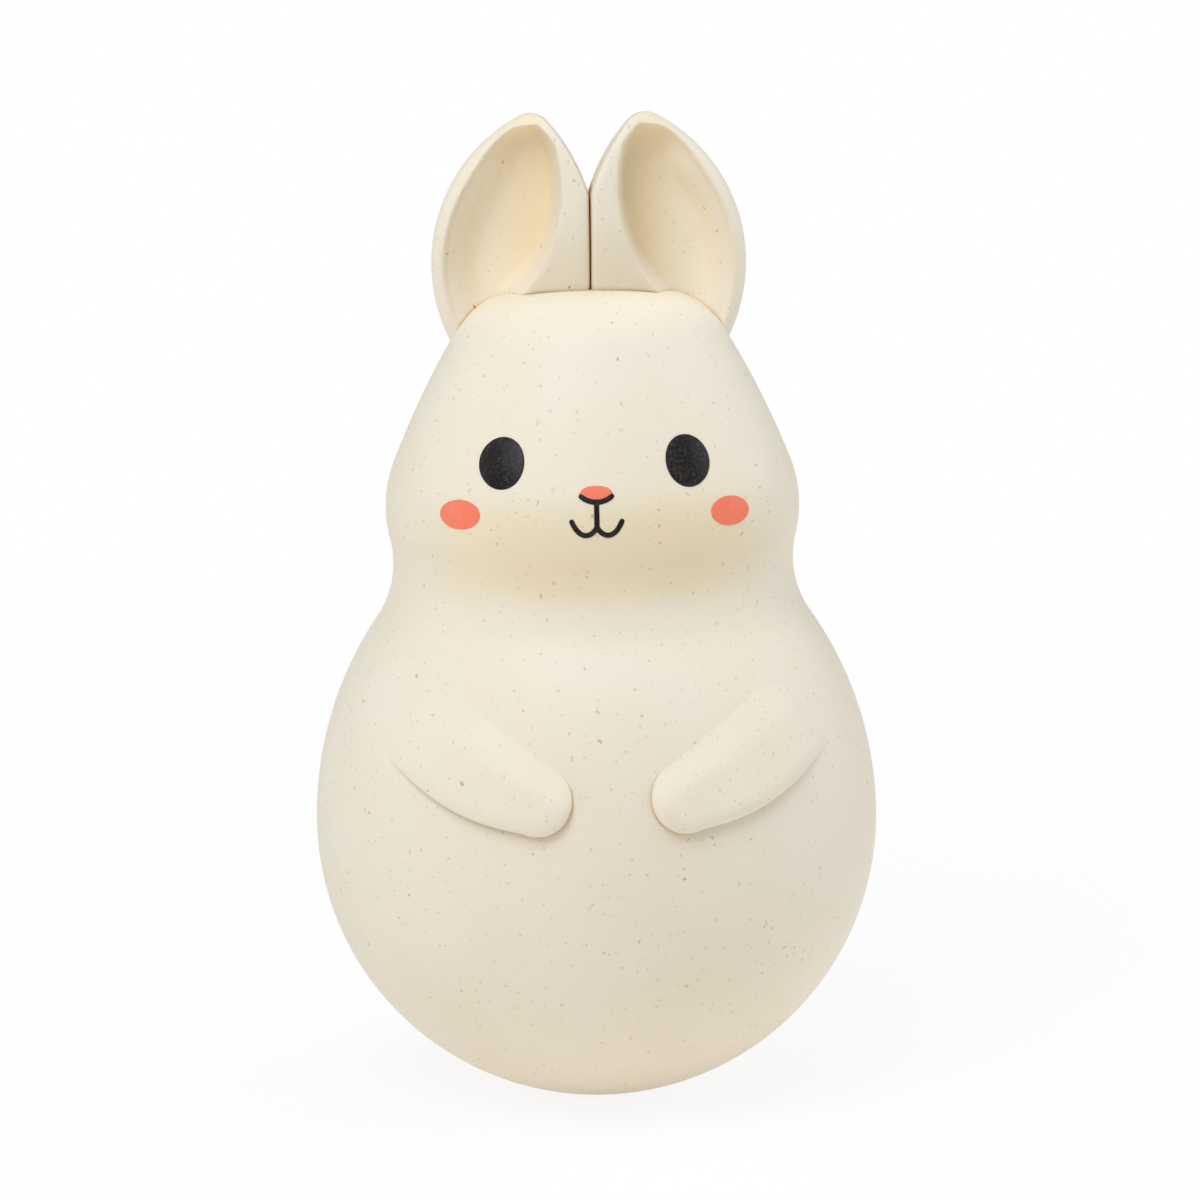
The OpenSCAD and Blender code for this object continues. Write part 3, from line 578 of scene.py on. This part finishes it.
face = {
    "ink": 0.11, "shift": -0.4,  # the film's thickness; the print sits a little to the toy's right
    "sides": 96, "rings": (0.1, 0.25, 0.42, 0.58, 0.72, 0.84, 0.92),
    "edge": 0.16, "rim": ((1.6, 1.0), (0.8, 0.92), (0.3, 0.62), (0.0, -0.35)),  # edges in from the rim, and height
    "eyeX": 12.8, "eyeRise": 9.9, "eyeSize": (5.95, 7.2), "eyeTilt": 27.0, "eyeEgg": 0.04, "eyeDome": 0.28,
    "cheekX": 18.7, "cheekRise": 2.6, "cheekSize": (5.5, 4.0), "cheekTilt": 10.0,
    "noseWide": 4.15, "noseRise": 7.3, "noseHigh": 2.2, "noseSag": 0.72, "noseFull": 2.3,
    "noseOver": 0.2, "noseLap": 0.2,  # wider than the lip on each side, and the share of the lip's line it covers
    "noseSteps": 28, "noseInk": 0.8, "noseEnd": 0.2, "noseLeast": 0.02,
    "noseUp": ((0, -0.3), (0.05, 0.6), (0.14, 1.0), (0.4, 1.0), (0.65, 1.0), (0.86, 1.0), (0.95, 0.6), (1, -0.3)),
    "line": 0.75, "lineHalf": ((0.4, 1.0), (0.82, 0.95), (0.94, 0.6), (1.0, -0.35)),  # shares out, and height
    "lineCaps": (89, 75, 60, 45, 30, 15), "capEnd": 0.35, "lipInk": 1.1, "stemInk": 1.05,
    "stem": 3.4, "stemSteps": 12, "curveSteps": 28,
    "smileOut": (-0.85, -1.5), "smileIn": (-2.4, -1.72), "smileEnd": (-3.45, 0.72),
}


def printOval(name, node, slot, centre, size, tilt, egg=0.0, dome=0.0):
    s = face
    wide, high = size
    c, n = math.cos(math.radians(tilt)), math.sin(math.radians(tilt))
    atX, atZ = s["shift"] + centre[0], cheekZ + centre[1]
    rings = [(ring, 1.0) for ring in s["rings"]] + [(1 - s["edge"] / wide * k, h) for k, h in s["rim"]]
    rows = []
    for ring, h in rings:
        lift = s["ink"] * h + dome * (1 - ring * ring)
        row = []
        for j in range(s["sides"]):
            a = 2 * math.pi * j / s["sides"]
            x = wide / 2 * math.cos(a) * (1 - egg * math.sin(a)) * ring
            y = high / 2 * math.sin(a) * ring
            row.append(onFront(atX + c * x - n * y, atZ + n * x + c * y, lift))
        rows.append(row)
    film = Build()
    film.grid(rows, closeAcross=True)
    film.fan(list(reversed(rows[0])), onFront(atX, atZ, s["ink"] + dome))
    return makePiece(name, film, "toy", slot, [node], sharp=80)


def addLine(film, path, lift):  # a line of even width along points, with round ends
    s = face
    half = s["line"] / 2
    head = (path[0] - path[1]) / np.linalg.norm(path[0] - path[1])
    tail = (path[-1] - path[-2]) / np.linalg.norm(path[-1] - path[-2])
    caps = [(math.sin(math.radians(a)), math.cos(math.radians(a))) for a in s["lineCaps"]]
    full = [(path[0] + head * half * u, w) for u, w in caps]
    full += [(p, 1.0) for p in path]
    full += [(path[-1] + tail * half * u, w) for u, w in reversed(caps)]
    across = [(-o, h) for o, h in reversed(s["lineHalf"])] + list(s["lineHalf"])
    last = len(full) - 1
    rows = []
    for k, (p, width) in enumerate(full):
        along = full[min(last, k + 1)][0] - full[max(0, k - 1)][0]
        d = along / np.linalg.norm(along)
        side = np.array([-d[1], d[0]]) * half * width
        high = lift * (s["capEnd"] if k in (0, last) else 1.0)
        middle = p + np.array([s["shift"], cheekZ])
        rows.append([onFront(*(middle + side * o), high * h) for o, h in across])
    film.grid(rows)


def arcPath(centre, r, first, last):
    count = face["curveSteps"]
    return [centre + r * unit(first + (last - first) * k / count) for k in range(count + 1)]


def curvePath(a, b, c, d):  # a smooth curve from a to d, drawn toward b and c
    path = []
    for k in range(face["curveSteps"] + 1):
        t = k / face["curveSteps"]
        path.append(a * (1 - t) ** 3 + b * 3 * t * (1 - t) ** 2 + c * 3 * t * t * (1 - t) + d * t ** 3)
    return path


def makeNose(sagR, low):
    s = face
    halfWide = s["noseWide"] / 2 + s["noseOver"]
    endY = low[1] - halfChord(sagR, halfWide)
    rows = []
    for k in range(s["noseSteps"] + 1):
        x = halfWide * math.sin(math.pi * (k / s["noseSteps"] - 0.5))
        bottom = low[1] - halfChord(sagR - s["line"] * s["noseLap"], x)
        top = max(bottom + s["noseLeast"], endY + (s["noseRise"] - endY) * bowed(x / halfWide, s["noseFull"]))
        lift = s["ink"] * s["noseInk"] * (s["noseEnd"] if k in (0, s["noseSteps"]) else 1.0)
        rows.append([
            onFront(s["shift"] + x, cheekZ + bottom + (top - bottom) * share, lift * h) for share, h in s["noseUp"]
        ])
    nose = Build()
    nose.grid(rows)
    return makePiece("nose_print", nose, "toy", "coral_ink", ["nose"], sharp=80)


def makeMouth(sagR, low):
    s = face
    mouth = Build()
    half = math.degrees(math.asin(s["noseWide"] / 2 / sagR))
    addLine(mouth, arcPath(low, sagR, -90 - half, -90 + half), s["ink"] * s["lipInk"])
    top, step = low[1] - sagR, s["stem"] / s["stemSteps"]
    stem = [np.array([0.0, top - step * k]) for k in range(s["stemSteps"] + 1)]
    addLine(mouth, stem, s["ink"] * s["stemInk"])
    for side in (1, -1):
        bends = ((0.0, 0.0), s["smileOut"], s["smileIn"], s["smileEnd"])
        smile = curvePath(*[np.array([-side * x, top - s["stem"] + y]) for x, y in bends])
        addLine(mouth, smile, s["ink"])
    return makePiece("mouth_print", mouth, "toy", "black_ink", ["mouth"], sharp=80)


def makeFace():
    s = face
    hands = ((1, "left"), (-1, "right"))
    made = []
    for side, hand in hands:
        form = ((side * s["eyeX"], s["eyeRise"]), s["eyeSize"], side * s["eyeTilt"], s["eyeEgg"], s["eyeDome"])
        made.append(printOval(hand + "Eye", hand + "_eye", "black_ink", *form))
    for side, hand in hands:
        form = ((side * s["cheekX"], s["cheekRise"]), s["cheekSize"], -side * s["cheekTilt"])
        made.append(printOval(hand + "Cheek", hand + "_cheek", "coral_ink", *form))
    sagR = ((s["noseWide"] / 2) ** 2 + s["noseSag"] ** 2) / (2 * s["noseSag"])  # of the lip under the nose
    low = np.array([0.0, s["noseRise"] - s["noseHigh"] + sagR])
    return made + [makeNose(sagR, low), makeMouth(sagR, low)]


facePrints = makeFace()
print("face printed in", len(facePrints), "films")


# finishes: shader maths as plain expressions

class Wire:
    def __init__(self, owner, socket):
        self.owner, self.socket = owner, socket

    def math(self, operation, *values):
        return self.owner.add("ShaderNodeMath", {"operation": operation}, dict(enumerate(values)))[0]

    def __add__(self, other): return self.math("ADD", self, other)
    def __radd__(self, other): return self.math("ADD", other, self)
    def __sub__(self, other): return self.math("SUBTRACT", self, other)
    def __rsub__(self, other): return self.math("SUBTRACT", other, self)
    def __mul__(self, other): return self.math("MULTIPLY", self, other)
    def __rmul__(self, other): return self.math("MULTIPLY", other, self)
    def __pow__(self, other): return self.math("POWER", self, other)
    def __rpow__(self, other): return self.math("POWER", other, self)
    def __abs__(self): return self.math("ABSOLUTE", self)


class Made:  # a node's outputs, by name or number
    def __init__(self, owner, node):
        self.owner, self.node = owner, node

    def __getitem__(self, key):
        return Wire(self.owner, self.node.outputs[key])


class NodeTree:
    def __init__(self, tree, outputKind):
        self.tree = tree
        tree.nodes.clear()
        self.output = tree.nodes.new(outputKind)

    def add(self, kind, settings=None, sockets=None):
        node = self.tree.nodes.new(kind)
        for key, value in (settings or {}).items():
            setattr(node, key, value)
        for key, value in (sockets or {}).items():
            socket = node.inputs[key]
            if isinstance(value, Wire):
                self.tree.links.new(value.socket, socket)
            elif isinstance(value, tuple) and len(value) == 3 and socket.type == "RGBA":
                socket.default_value = (*value, 1.0)
            else:
                socket.default_value = value
        return Made(self, node)

    def show(self, shader):
        self.tree.links.new(shader[0].socket, self.output.inputs["Surface"])

    def seenBy(self, *rays):  # 1 for these kinds of ray
        path = self.add("ShaderNodeLightPath")
        seen = path[rays[0]]
        for ray in rays[1:]:
            seen = seen.math("MAXIMUM", seen, path[ray])
        return seen


class Finish(NodeTree):
    def __init__(self, name):
        self.material = bpy.data.materials.new(name)
        self.material.use_nodes = True
        super().__init__(self.material.node_tree, "ShaderNodeOutputMaterial")

    def place(self):
        return self.add("ShaderNodeTexCoord")["Object"]

    def noise(self, where, scale, detail, rough=0.5, output="Fac"):
        sockets = {"Vector": where, "Scale": scale, "Detail": detail, "Roughness": rough}
        return self.add("ShaderNodeTexNoise", None, sockets)[output]

    def cells(self, where, size):  # distance from the middle of each cell, and numbers drawn by chance for it
        cell = self.add("ShaderNodeTexVoronoi", None, {"Vector": where, "Scale": 1 / (size * mm)})
        return cell["Distance"], self.add("ShaderNodeSeparateColor", None, {"Color": cell["Color"]})

    def stretch(self, where, scale):
        return self.add("ShaderNodeMapping", None, {"Vector": where, "Scale": scale})["Vector"]

    def between(self, value, low, high):  # 0 below low and 1 above high, smooth between
        sockets = {"Value": value, "From Min": low, "From Max": high}
        return self.add("ShaderNodeMapRange", {"interpolation_type": "SMOOTHSTEP"}, sockets)["Result"]

    def blend(self, share, first, second, how="MIX"):
        settings = {"data_type": "RGBA", "blend_type": how}
        return self.add("ShaderNodeMix", settings, {0: share, 6: first, 7: second})[2]

    def bump(self, height, strength, distance):
        sockets = {"Height": height, "Strength": strength, "Distance": distance}
        return self.add("ShaderNodeBump", None, sockets)["Normal"]

    def surface(self, **sockets):
        sockets = {key.replace("_", " "): value for key, value in sockets.items()}
        self.show(self.add("ShaderNodeBsdfPrincipled", None, sockets))
        return self.material


def linear(*screen):  # a colour as picked on screen, 0 to 255
    return tuple(c / 12.92 if c <= 0.04045 else ((c + 0.055) / 1.055) ** 2.4 for c in (v / 255 for v in screen))


# noises are scale, detail and roughness, and bumps are strength and distance

bioplastic = {
    "cream": linear(242, 230, 208), "warm": linear(239, 224, 197),
    "cloud": (38.0, 3.0, 0.55), "cloudStep": (0.35, 0.7), "cloudShare": 0.55,
    "stir": (900.0, 1.0), "stirBy": 0.0011,  # makes the specks ragged
    "faint": linear(200, 170, 122), "faintCell": 1.3, "faintSize": 0.12, "faintMore": 0.1, "faintEdge": 0.08,
    "speck": linear(150, 110, 62), "speckCell": 1.9, "speckSize": 0.07, "speckMore": 0.13, "speckEdge": 0.07,
    "faintShare": 0.6, "speckShare": 0.13, "speckDark": 0.36, "earSpeck": 0.8, "earRise": (0.108, 0.113),
    "amber": (0.98, 0.92, 0.76),  # painted shade: an amber that darkens and warms the shaded chin and the ears' inner walls
    "chinTint": 0.85, "chinRise": (0.0855, 0.0935), "chinFoot": (0.0735, 0.0785), "chinWide": (0.013, 0.027),
    # painted light in the ear scoops (glow), and painted shade beside their inner walls
    "glow": linear(252, 236, 200), "glowShare": 0.75, "earTint": 0.6, "wallTint": 0.9, "wallReach": (0.007, 0.014),
    "scoopFace": (0.1, 0.6), "scoopDeep": (-0.002, 0.002), "scoopRise": (0.109, 0.113),  # where the scoops are
    "scoopMid": 0.125, "scoopLean": 0.15,
    # painted shade in creases and narrow gaps
    "crease": (0.74, 0.58, 0.36), "creaseReach": 0.0012, "creaseStep": (0.2, 0.75), "creaseRays": 8,
    "rough": 0.56, "roughVary": 0.12, "grain": (3200.0, 2.0), "grainShare": 0.6, "skin": (420.0, 2.0),
    "bump": (0.05, 0.0004), "ior": 1.46,
}


def addSpecks(f, where, at, colour):
    s = bioplastic
    stir = f.noise(where, *s["stir"], output="Color")
    shake = f.add("ShaderNodeVectorMath", {"operation": "SCALE"}, {0: stir, "Scale": s["stirBy"]})["Vector"]
    moved = f.add("ShaderNodeVectorMath", {"operation": "ADD"}, {0: where, 1: shake})["Vector"]
    away, lot = f.cells(moved, s["faintCell"])
    dot = f.between(s["faintSize"] + lot["Red"] * s["faintMore"] - away, 0.0, s["faintEdge"])
    colour = f.blend(dot * lot["Green"] * s["faintShare"], colour, s["faint"])
    away, lot = f.cells(moved, s["speckCell"])
    dot = f.between(s["speckSize"] + lot["Red"] ** 2 * s["speckMore"] - away, 0.0, s["speckEdge"])
    dark = lot["Green"] ** 3 * s["speckDark"] + s["speckShare"]  # few are dark
    inEars = 1 + f.between(at["Z"], *s["earRise"]) * s["earSpeck"]
    return f.blend(dot * (dark * inEars), colour, s["speck"])


def makeBioplastic():
    s = bioplastic
    f = Finish("speckled bioplastic")
    where = f.place()
    at = f.add("ShaderNodeSeparateXYZ", None, {0: where})
    facing = f.add("ShaderNodeSeparateXYZ", None, {0: f.add("ShaderNodeNewGeometry")["Normal"]})
    cloud = f.between(f.noise(where, *s["cloud"]), *s["cloudStep"])
    colour = addSpecks(f, where, at, f.blend(cloud * s["cloudShare"], s["cream"], s["warm"]))
    # painted shade under the chin: darker and warmer toward the neck crease, fading to the sides and back
    chin = (1 - f.between(at["Z"], *s["chinRise"])) * f.between(at["Z"], *s["chinFoot"])
    chin = chin * f.between(at["Y"] * -1, *s["chinWide"])
    colour = f.blend(chin * s["chinTint"], colour, s["amber"], "MULTIPLY")
    # painted light: the ear scoops get a lighter, warmer colour (glow), as if more light reached their floors
    deep = at["Y"] + (at["Z"] - s["scoopMid"]) * s["scoopLean"]
    scoop = f.between(facing["Y"] * -1, *s["scoopFace"]) * f.between(deep, *s["scoopDeep"])
    scoop = scoop * f.between(at["Z"], *s["scoopRise"])
    colour = f.blend(scoop * s["earTint"], colour, f.blend(s["glowShare"], colour, s["glow"]))
    # painted shade: amber darkening on the scoop beside each ear's inner wall
    inner = 1 - f.between(abs(at["X"]), *s["wallReach"])
    colour = f.blend(scoop * inner * s["wallTint"], colour, s["amber"], "MULTIPLY")
    # painted shade: amber darkening in creases and narrow gaps, wherever ambient occlusion finds them
    bare = f.add("ShaderNodeAmbientOcclusion", {"samples": s["creaseRays"]}, {"Distance": s["creaseReach"]})["AO"]
    colour = f.blend(f.between(1 - bare, *s["creaseStep"]), colour, s["crease"], "MULTIPLY")
    grain = f.noise(where, *s["grain"])
    normal = f.bump(grain * s["grainShare"] + f.noise(where, *s["skin"]), *s["bump"])
    rough = s["rough"] + (grain - 0.5) * s["roughVary"]
    return f.surface(Base_Color=colour, Roughness=rough, IOR=s["ior"], Normal=normal)


ink = {
    # the lighter mottle on the black ink is painted sheen standing in for the eyes' sparkle; on the coral ink it is
    # the print's own mottle
    "black": linear(26, 20, 17), "worn": linear(70, 66, 63), "blackRough": 0.42,
    "coral": linear(250, 128, 96), "coralPale": linear(252, 146, 118), "coralRough": 0.55,
    "fine": (2600.0, 3.0, 0.6), "broad": (260.0, 2.0), "fineShare": 0.7, "wearStep": (0.46, 0.66), "wear": 0.6,
    "roughVary": 0.2, "shine": 0.25, "bump": (0.3, 0.00012),
}


def makeInk(name, deep, pale, rough):
    s = ink
    f = Finish(name)
    where = f.place()
    fine = f.noise(where, *s["fine"])
    # lighter mottle: painted sheen on the black ink, the print's own mottle on the coral ink
    worn = fine * s["fineShare"] + f.noise(where, *s["broad"]) * (1 - s["fineShare"])
    colour = f.blend(f.between(worn, *s["wearStep"]) * s["wear"], deep, pale)
    rough = rough + (fine - 0.5) * s["roughVary"]
    normal = f.bump(fine, *s["bump"])
    return f.surface(Base_Color=colour, Roughness=rough, Specular_IOR_Level=s["shine"], Normal=normal)


whitePlastic = {
    "colour": linear(236, 236, 232), "shade": linear(226, 227, 224), "flow": (60.0, 3.0), "flowStep": (0.4, 0.65),
    "rough": 0.42, "roughVary": 0.16, "fine": (2400.0, 2.0), "bump": (0.12, 0.0002),
}


def makeWhitePlastic():
    s = whitePlastic
    f = Finish("moulded white plastic")
    where = f.place()
    fine = f.noise(where, *s["fine"])
    colour = f.blend(f.between(f.noise(where, *s["flow"]), *s["flowStep"]), s["colour"], s["shade"])
    rough = s["rough"] + (fine - 0.5) * s["roughVary"]
    return f.surface(Base_Color=colour, Roughness=rough, Normal=f.bump(fine, *s["bump"]))


castIron = {
    "dark": linear(74, 75, 78), "pale": linear(112, 112, 112), "sand": (1500.0, 5.0, 0.65), "sandStep": (0.4, 0.62),
    "rust": linear(116, 84, 64), "patch": (120.0, 4.0), "patchStep": (0.6, 0.75), "rustShare": 0.5,
    "metal": 0.85, "rustMetal": 0.6, "rough": 0.62, "roughVary": 0.3, "bump": (0.5, 0.0004),
}


def makeCastIron():
    s = castIron
    f = Finish("cast iron")
    where = f.place()
    sand = f.noise(where, *s["sand"])
    rusty = f.between(f.noise(where, *s["patch"]), *s["patchStep"])
    colour = f.blend(f.between(sand, *s["sandStep"]), s["dark"], s["pale"])
    colour = f.blend(rusty * s["rustShare"], colour, s["rust"])
    rough = s["rough"] + (sand - 0.5) * s["roughVary"]
    metal = s["metal"] - rusty * s["rustMetal"]
    return f.surface(Base_Color=colour, Metallic=metal, Roughness=rough, Normal=f.bump(sand, *s["bump"]))


drawnSteel = {
    "bright": linear(206, 208, 211), "dull": linear(178, 181, 186), "draw": (1.0, 1.0, 0.06),
    "lines": (4200.0, 3.0), "cloud": (180.0, 2.0), "lineShare": 0.6, "step": (0.42, 0.6),
    "rough": 0.26, "roughVary": 0.2, "bump": (0.08, 0.00008),
}


def makeSteel():
    s = drawnSteel
    f = Finish("drawn steel")
    where = f.place()
    lines = f.noise(f.stretch(where, s["draw"]), *s["lines"])
    worn = lines * s["lineShare"] + f.noise(where, *s["cloud"]) * (1 - s["lineShare"])
    colour = f.blend(f.between(worn, *s["step"]), s["dull"], s["bright"])
    rough = s["rough"] + (lines - 0.5) * s["roughVary"]
    return f.surface(Base_Color=colour, Metallic=1.0, Roughness=rough, Normal=f.bump(lines, *s["bump"]))


beech = {
    "pale": linear(222, 186, 142), "deep": linear(190, 148, 102), "fleck": linear(150, 108, 70),
    "along": (1.0, 1.0, 0.12), "ringStep": (0.2, 0.9),
    "rings": {"Scale": 90.0, "Distortion": 5.0, "Detail": 3.0, "Detail Scale": 2.0},
    "flecks": (2600.0, 2.0), "fleckStep": (0.62, 0.7), "fleckShare": 0.6,
    "rough": 0.45, "roughVary": 0.2, "bump": (0.1, 0.0001),
}


def makeBeech():
    s = beech
    f = Finish("turned beech")
    where = f.stretch(f.place(), s["along"])
    settings = {"wave_type": "RINGS", "rings_direction": "X"}
    rings = f.add("ShaderNodeTexWave", settings, {"Vector": where, **s["rings"]})["Fac"]
    flecks = f.noise(where, *s["flecks"])
    colour = f.blend(f.between(rings, *s["ringStep"]), s["pale"], s["deep"])
    colour = f.blend(f.between(flecks, *s["fleckStep"]) * s["fleckShare"], colour, s["fleck"])
    rough = s["rough"] + (flecks - 0.5) * s["roughVary"]
    return f.surface(Base_Color=colour, Roughness=rough, Normal=f.bump(flecks, *s["bump"]))


finishes = {
    "shell": makeBioplastic(),
    "black_ink": makeInk("black ink", ink["black"], ink["worn"], ink["blackRough"]),
    "coral_ink": makeInk("coral ink", ink["coral"], ink["coralPale"], ink["coralRough"]),
    "white_plastic": makeWhitePlastic(),
    "ballast": makeCastIron(),
    "steel": makeSteel(),
    "beech": makeBeech(),
}


def dress(piece, slot):
    piece.data.materials.clear()
    piece.data.materials.append(finishes[slot])


for piece in [frontShell, backShell, leftEar, rightEar] + facePrints:
    dress(piece, piece["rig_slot"])
for part in frame["record"]["subparts"]:
    node = nodes[part["node"]]
    if not node.hide_render:
        dress(node, part["material_slot"])
print("finishes on", len(finishes), "slots")


# studio: white floor, soft lamps above, high on the left and on both sides

coolLight = (0.88, 0.93, 1.0)
white = (1.0, 1.0, 1.0)

studio = {
    "floorColour": linear(252, 249, 245), "floorR": 4.0, "floorZ": -0.00005, "floorSides": 96,
    "floorWhite": 0.88, "floorLit": 0.28, "floorFade": (0.1, 0.45),  # whiter away from the toy
    "ambient": 0.2, "lampAim": (0, 0, 0.07),
    "lamps": {
        "key": {"at": (-0.42, -0.75, 1.1), "size": 0.9, "watts": 10.7, "colour": (0.9, 0.94, 1.0)},
        "over": {"at": (0.25, -0.1, 1.4), "size": 1.4, "watts": 7.6, "colour": coolLight},
        "left": {"at": (-1.1, 0.25, 0.45), "size": 1.0, "watts": 2.6, "colour": coolLight},
        "right": {"at": (1.1, 0.15, 0.45), "size": 1.0, "watts": 4.2, "colour": coolLight},
    },
}


def makeFloor():
    s = studio
    mesh = bpy.data.meshes.new("floor")
    turns = [2 * math.pi * k / s["floorSides"] for k in range(s["floorSides"])]
    rim = [(s["floorR"] * math.cos(a), s["floorR"] * math.sin(a), s["floorZ"]) for a in turns]
    mesh.from_pydata(rim, [], [tuple(range(len(rim)))])
    floor = bpy.data.objects.new("floor", mesh)
    bpy.context.scene.collection.objects.link(floor)
    f = Finish("white floor")
    plain = f.add("ShaderNodeBsdfDiffuse", None, {"Color": s["floorColour"]})
    glow = f.add("ShaderNodeEmission", None, {"Color": white, "Strength": 1.0})
    away = f.add("ShaderNodeVectorMath", {"operation": "LENGTH"}, {0: f.place()})["Value"]
    shown = s["floorWhite"] + f.between(away, *s["floorFade"]) * (1 - s["floorWhite"])
    seen = f.seenBy("Is Camera Ray", "Is Glossy Ray")
    share = seen * (shown - s["floorLit"]) + s["floorLit"]
    f.show(f.add("ShaderNodeMixShader", None, {0: share, 1: plain[0], 2: glow[0]}))
    mesh.materials.append(f.material)


def makeWorld():
    world = bpy.data.worlds.new("studio")
    bpy.context.scene.world = world
    world.use_nodes = True
    sky = NodeTree(world.node_tree, "ShaderNodeOutputWorld")
    soft = sky.add("ShaderNodeBackground", None, {"Color": coolLight, "Strength": studio["ambient"]})
    plain = sky.add("ShaderNodeBackground", None, {"Color": white, "Strength": 1.0})
    seen = sky.seenBy("Is Camera Ray", "Is Transmission Ray")
    sky.show(sky.add("ShaderNodeMixShader", None, {0: seen, 1: soft[0], 2: plain[0]}))


def makeLamp(name, s):
    lamp = bpy.data.lights.new(name, "AREA")
    lamp.shape, lamp.size, lamp.energy, lamp.color = "DISK", s["size"], s["watts"], s["colour"]
    holder = bpy.data.objects.new(name, lamp)
    bpy.context.scene.collection.objects.link(holder)
    holder.location = s["at"]
    holder.rotation_euler = (Vector(studio["lampAim"]) - Vector(s["at"])).to_track_quat("-Z", "Y").to_euler()


makeFloor()
makeWorld()
for name, lamp in studio["lamps"].items():
    makeLamp(name, lamp)


# camera: a long lens, ten degrees up, turned a little to the toy's right; frame is the width that it shows

view = {
    "distance": 0.95, "turn": 2.0, "rise": 10.4, "roll": 0.75, "aim": (0.0009, 0.0, 0.0711),
    "frame": 0.1708, "sensor": 36.0, "farthest": 20.0,
}


def makeCamera():
    s = view
    lens = bpy.data.cameras.new("camera")
    lens.sensor_width = s["sensor"]
    lens.sensor_fit = "HORIZONTAL"
    lens.lens = s["sensor"] * s["distance"] / s["frame"]
    lens.clip_end = s["farthest"]
    camera = bpy.data.objects.new("camera", lens)
    bpy.context.scene.collection.objects.link(camera)
    turn, rise = math.radians(s["turn"]), math.radians(s["rise"])
    away = Vector((-math.cos(rise) * math.sin(turn), -math.cos(rise) * math.cos(turn), math.sin(rise)))
    camera.location = Vector(s["aim"]) + s["distance"] * away
    look = (Vector(s["aim"]) - camera.location).to_track_quat("-Z", "Y").to_matrix().to_4x4()
    camera.rotation_euler = (look @ Matrix.Rotation(math.radians(-s["roll"]), 4, "Z")).to_euler()
    bpy.context.scene.camera = camera


makeCamera()
bpy.context.scene.view_settings.view_transform = "Standard"
print("studio and camera set")
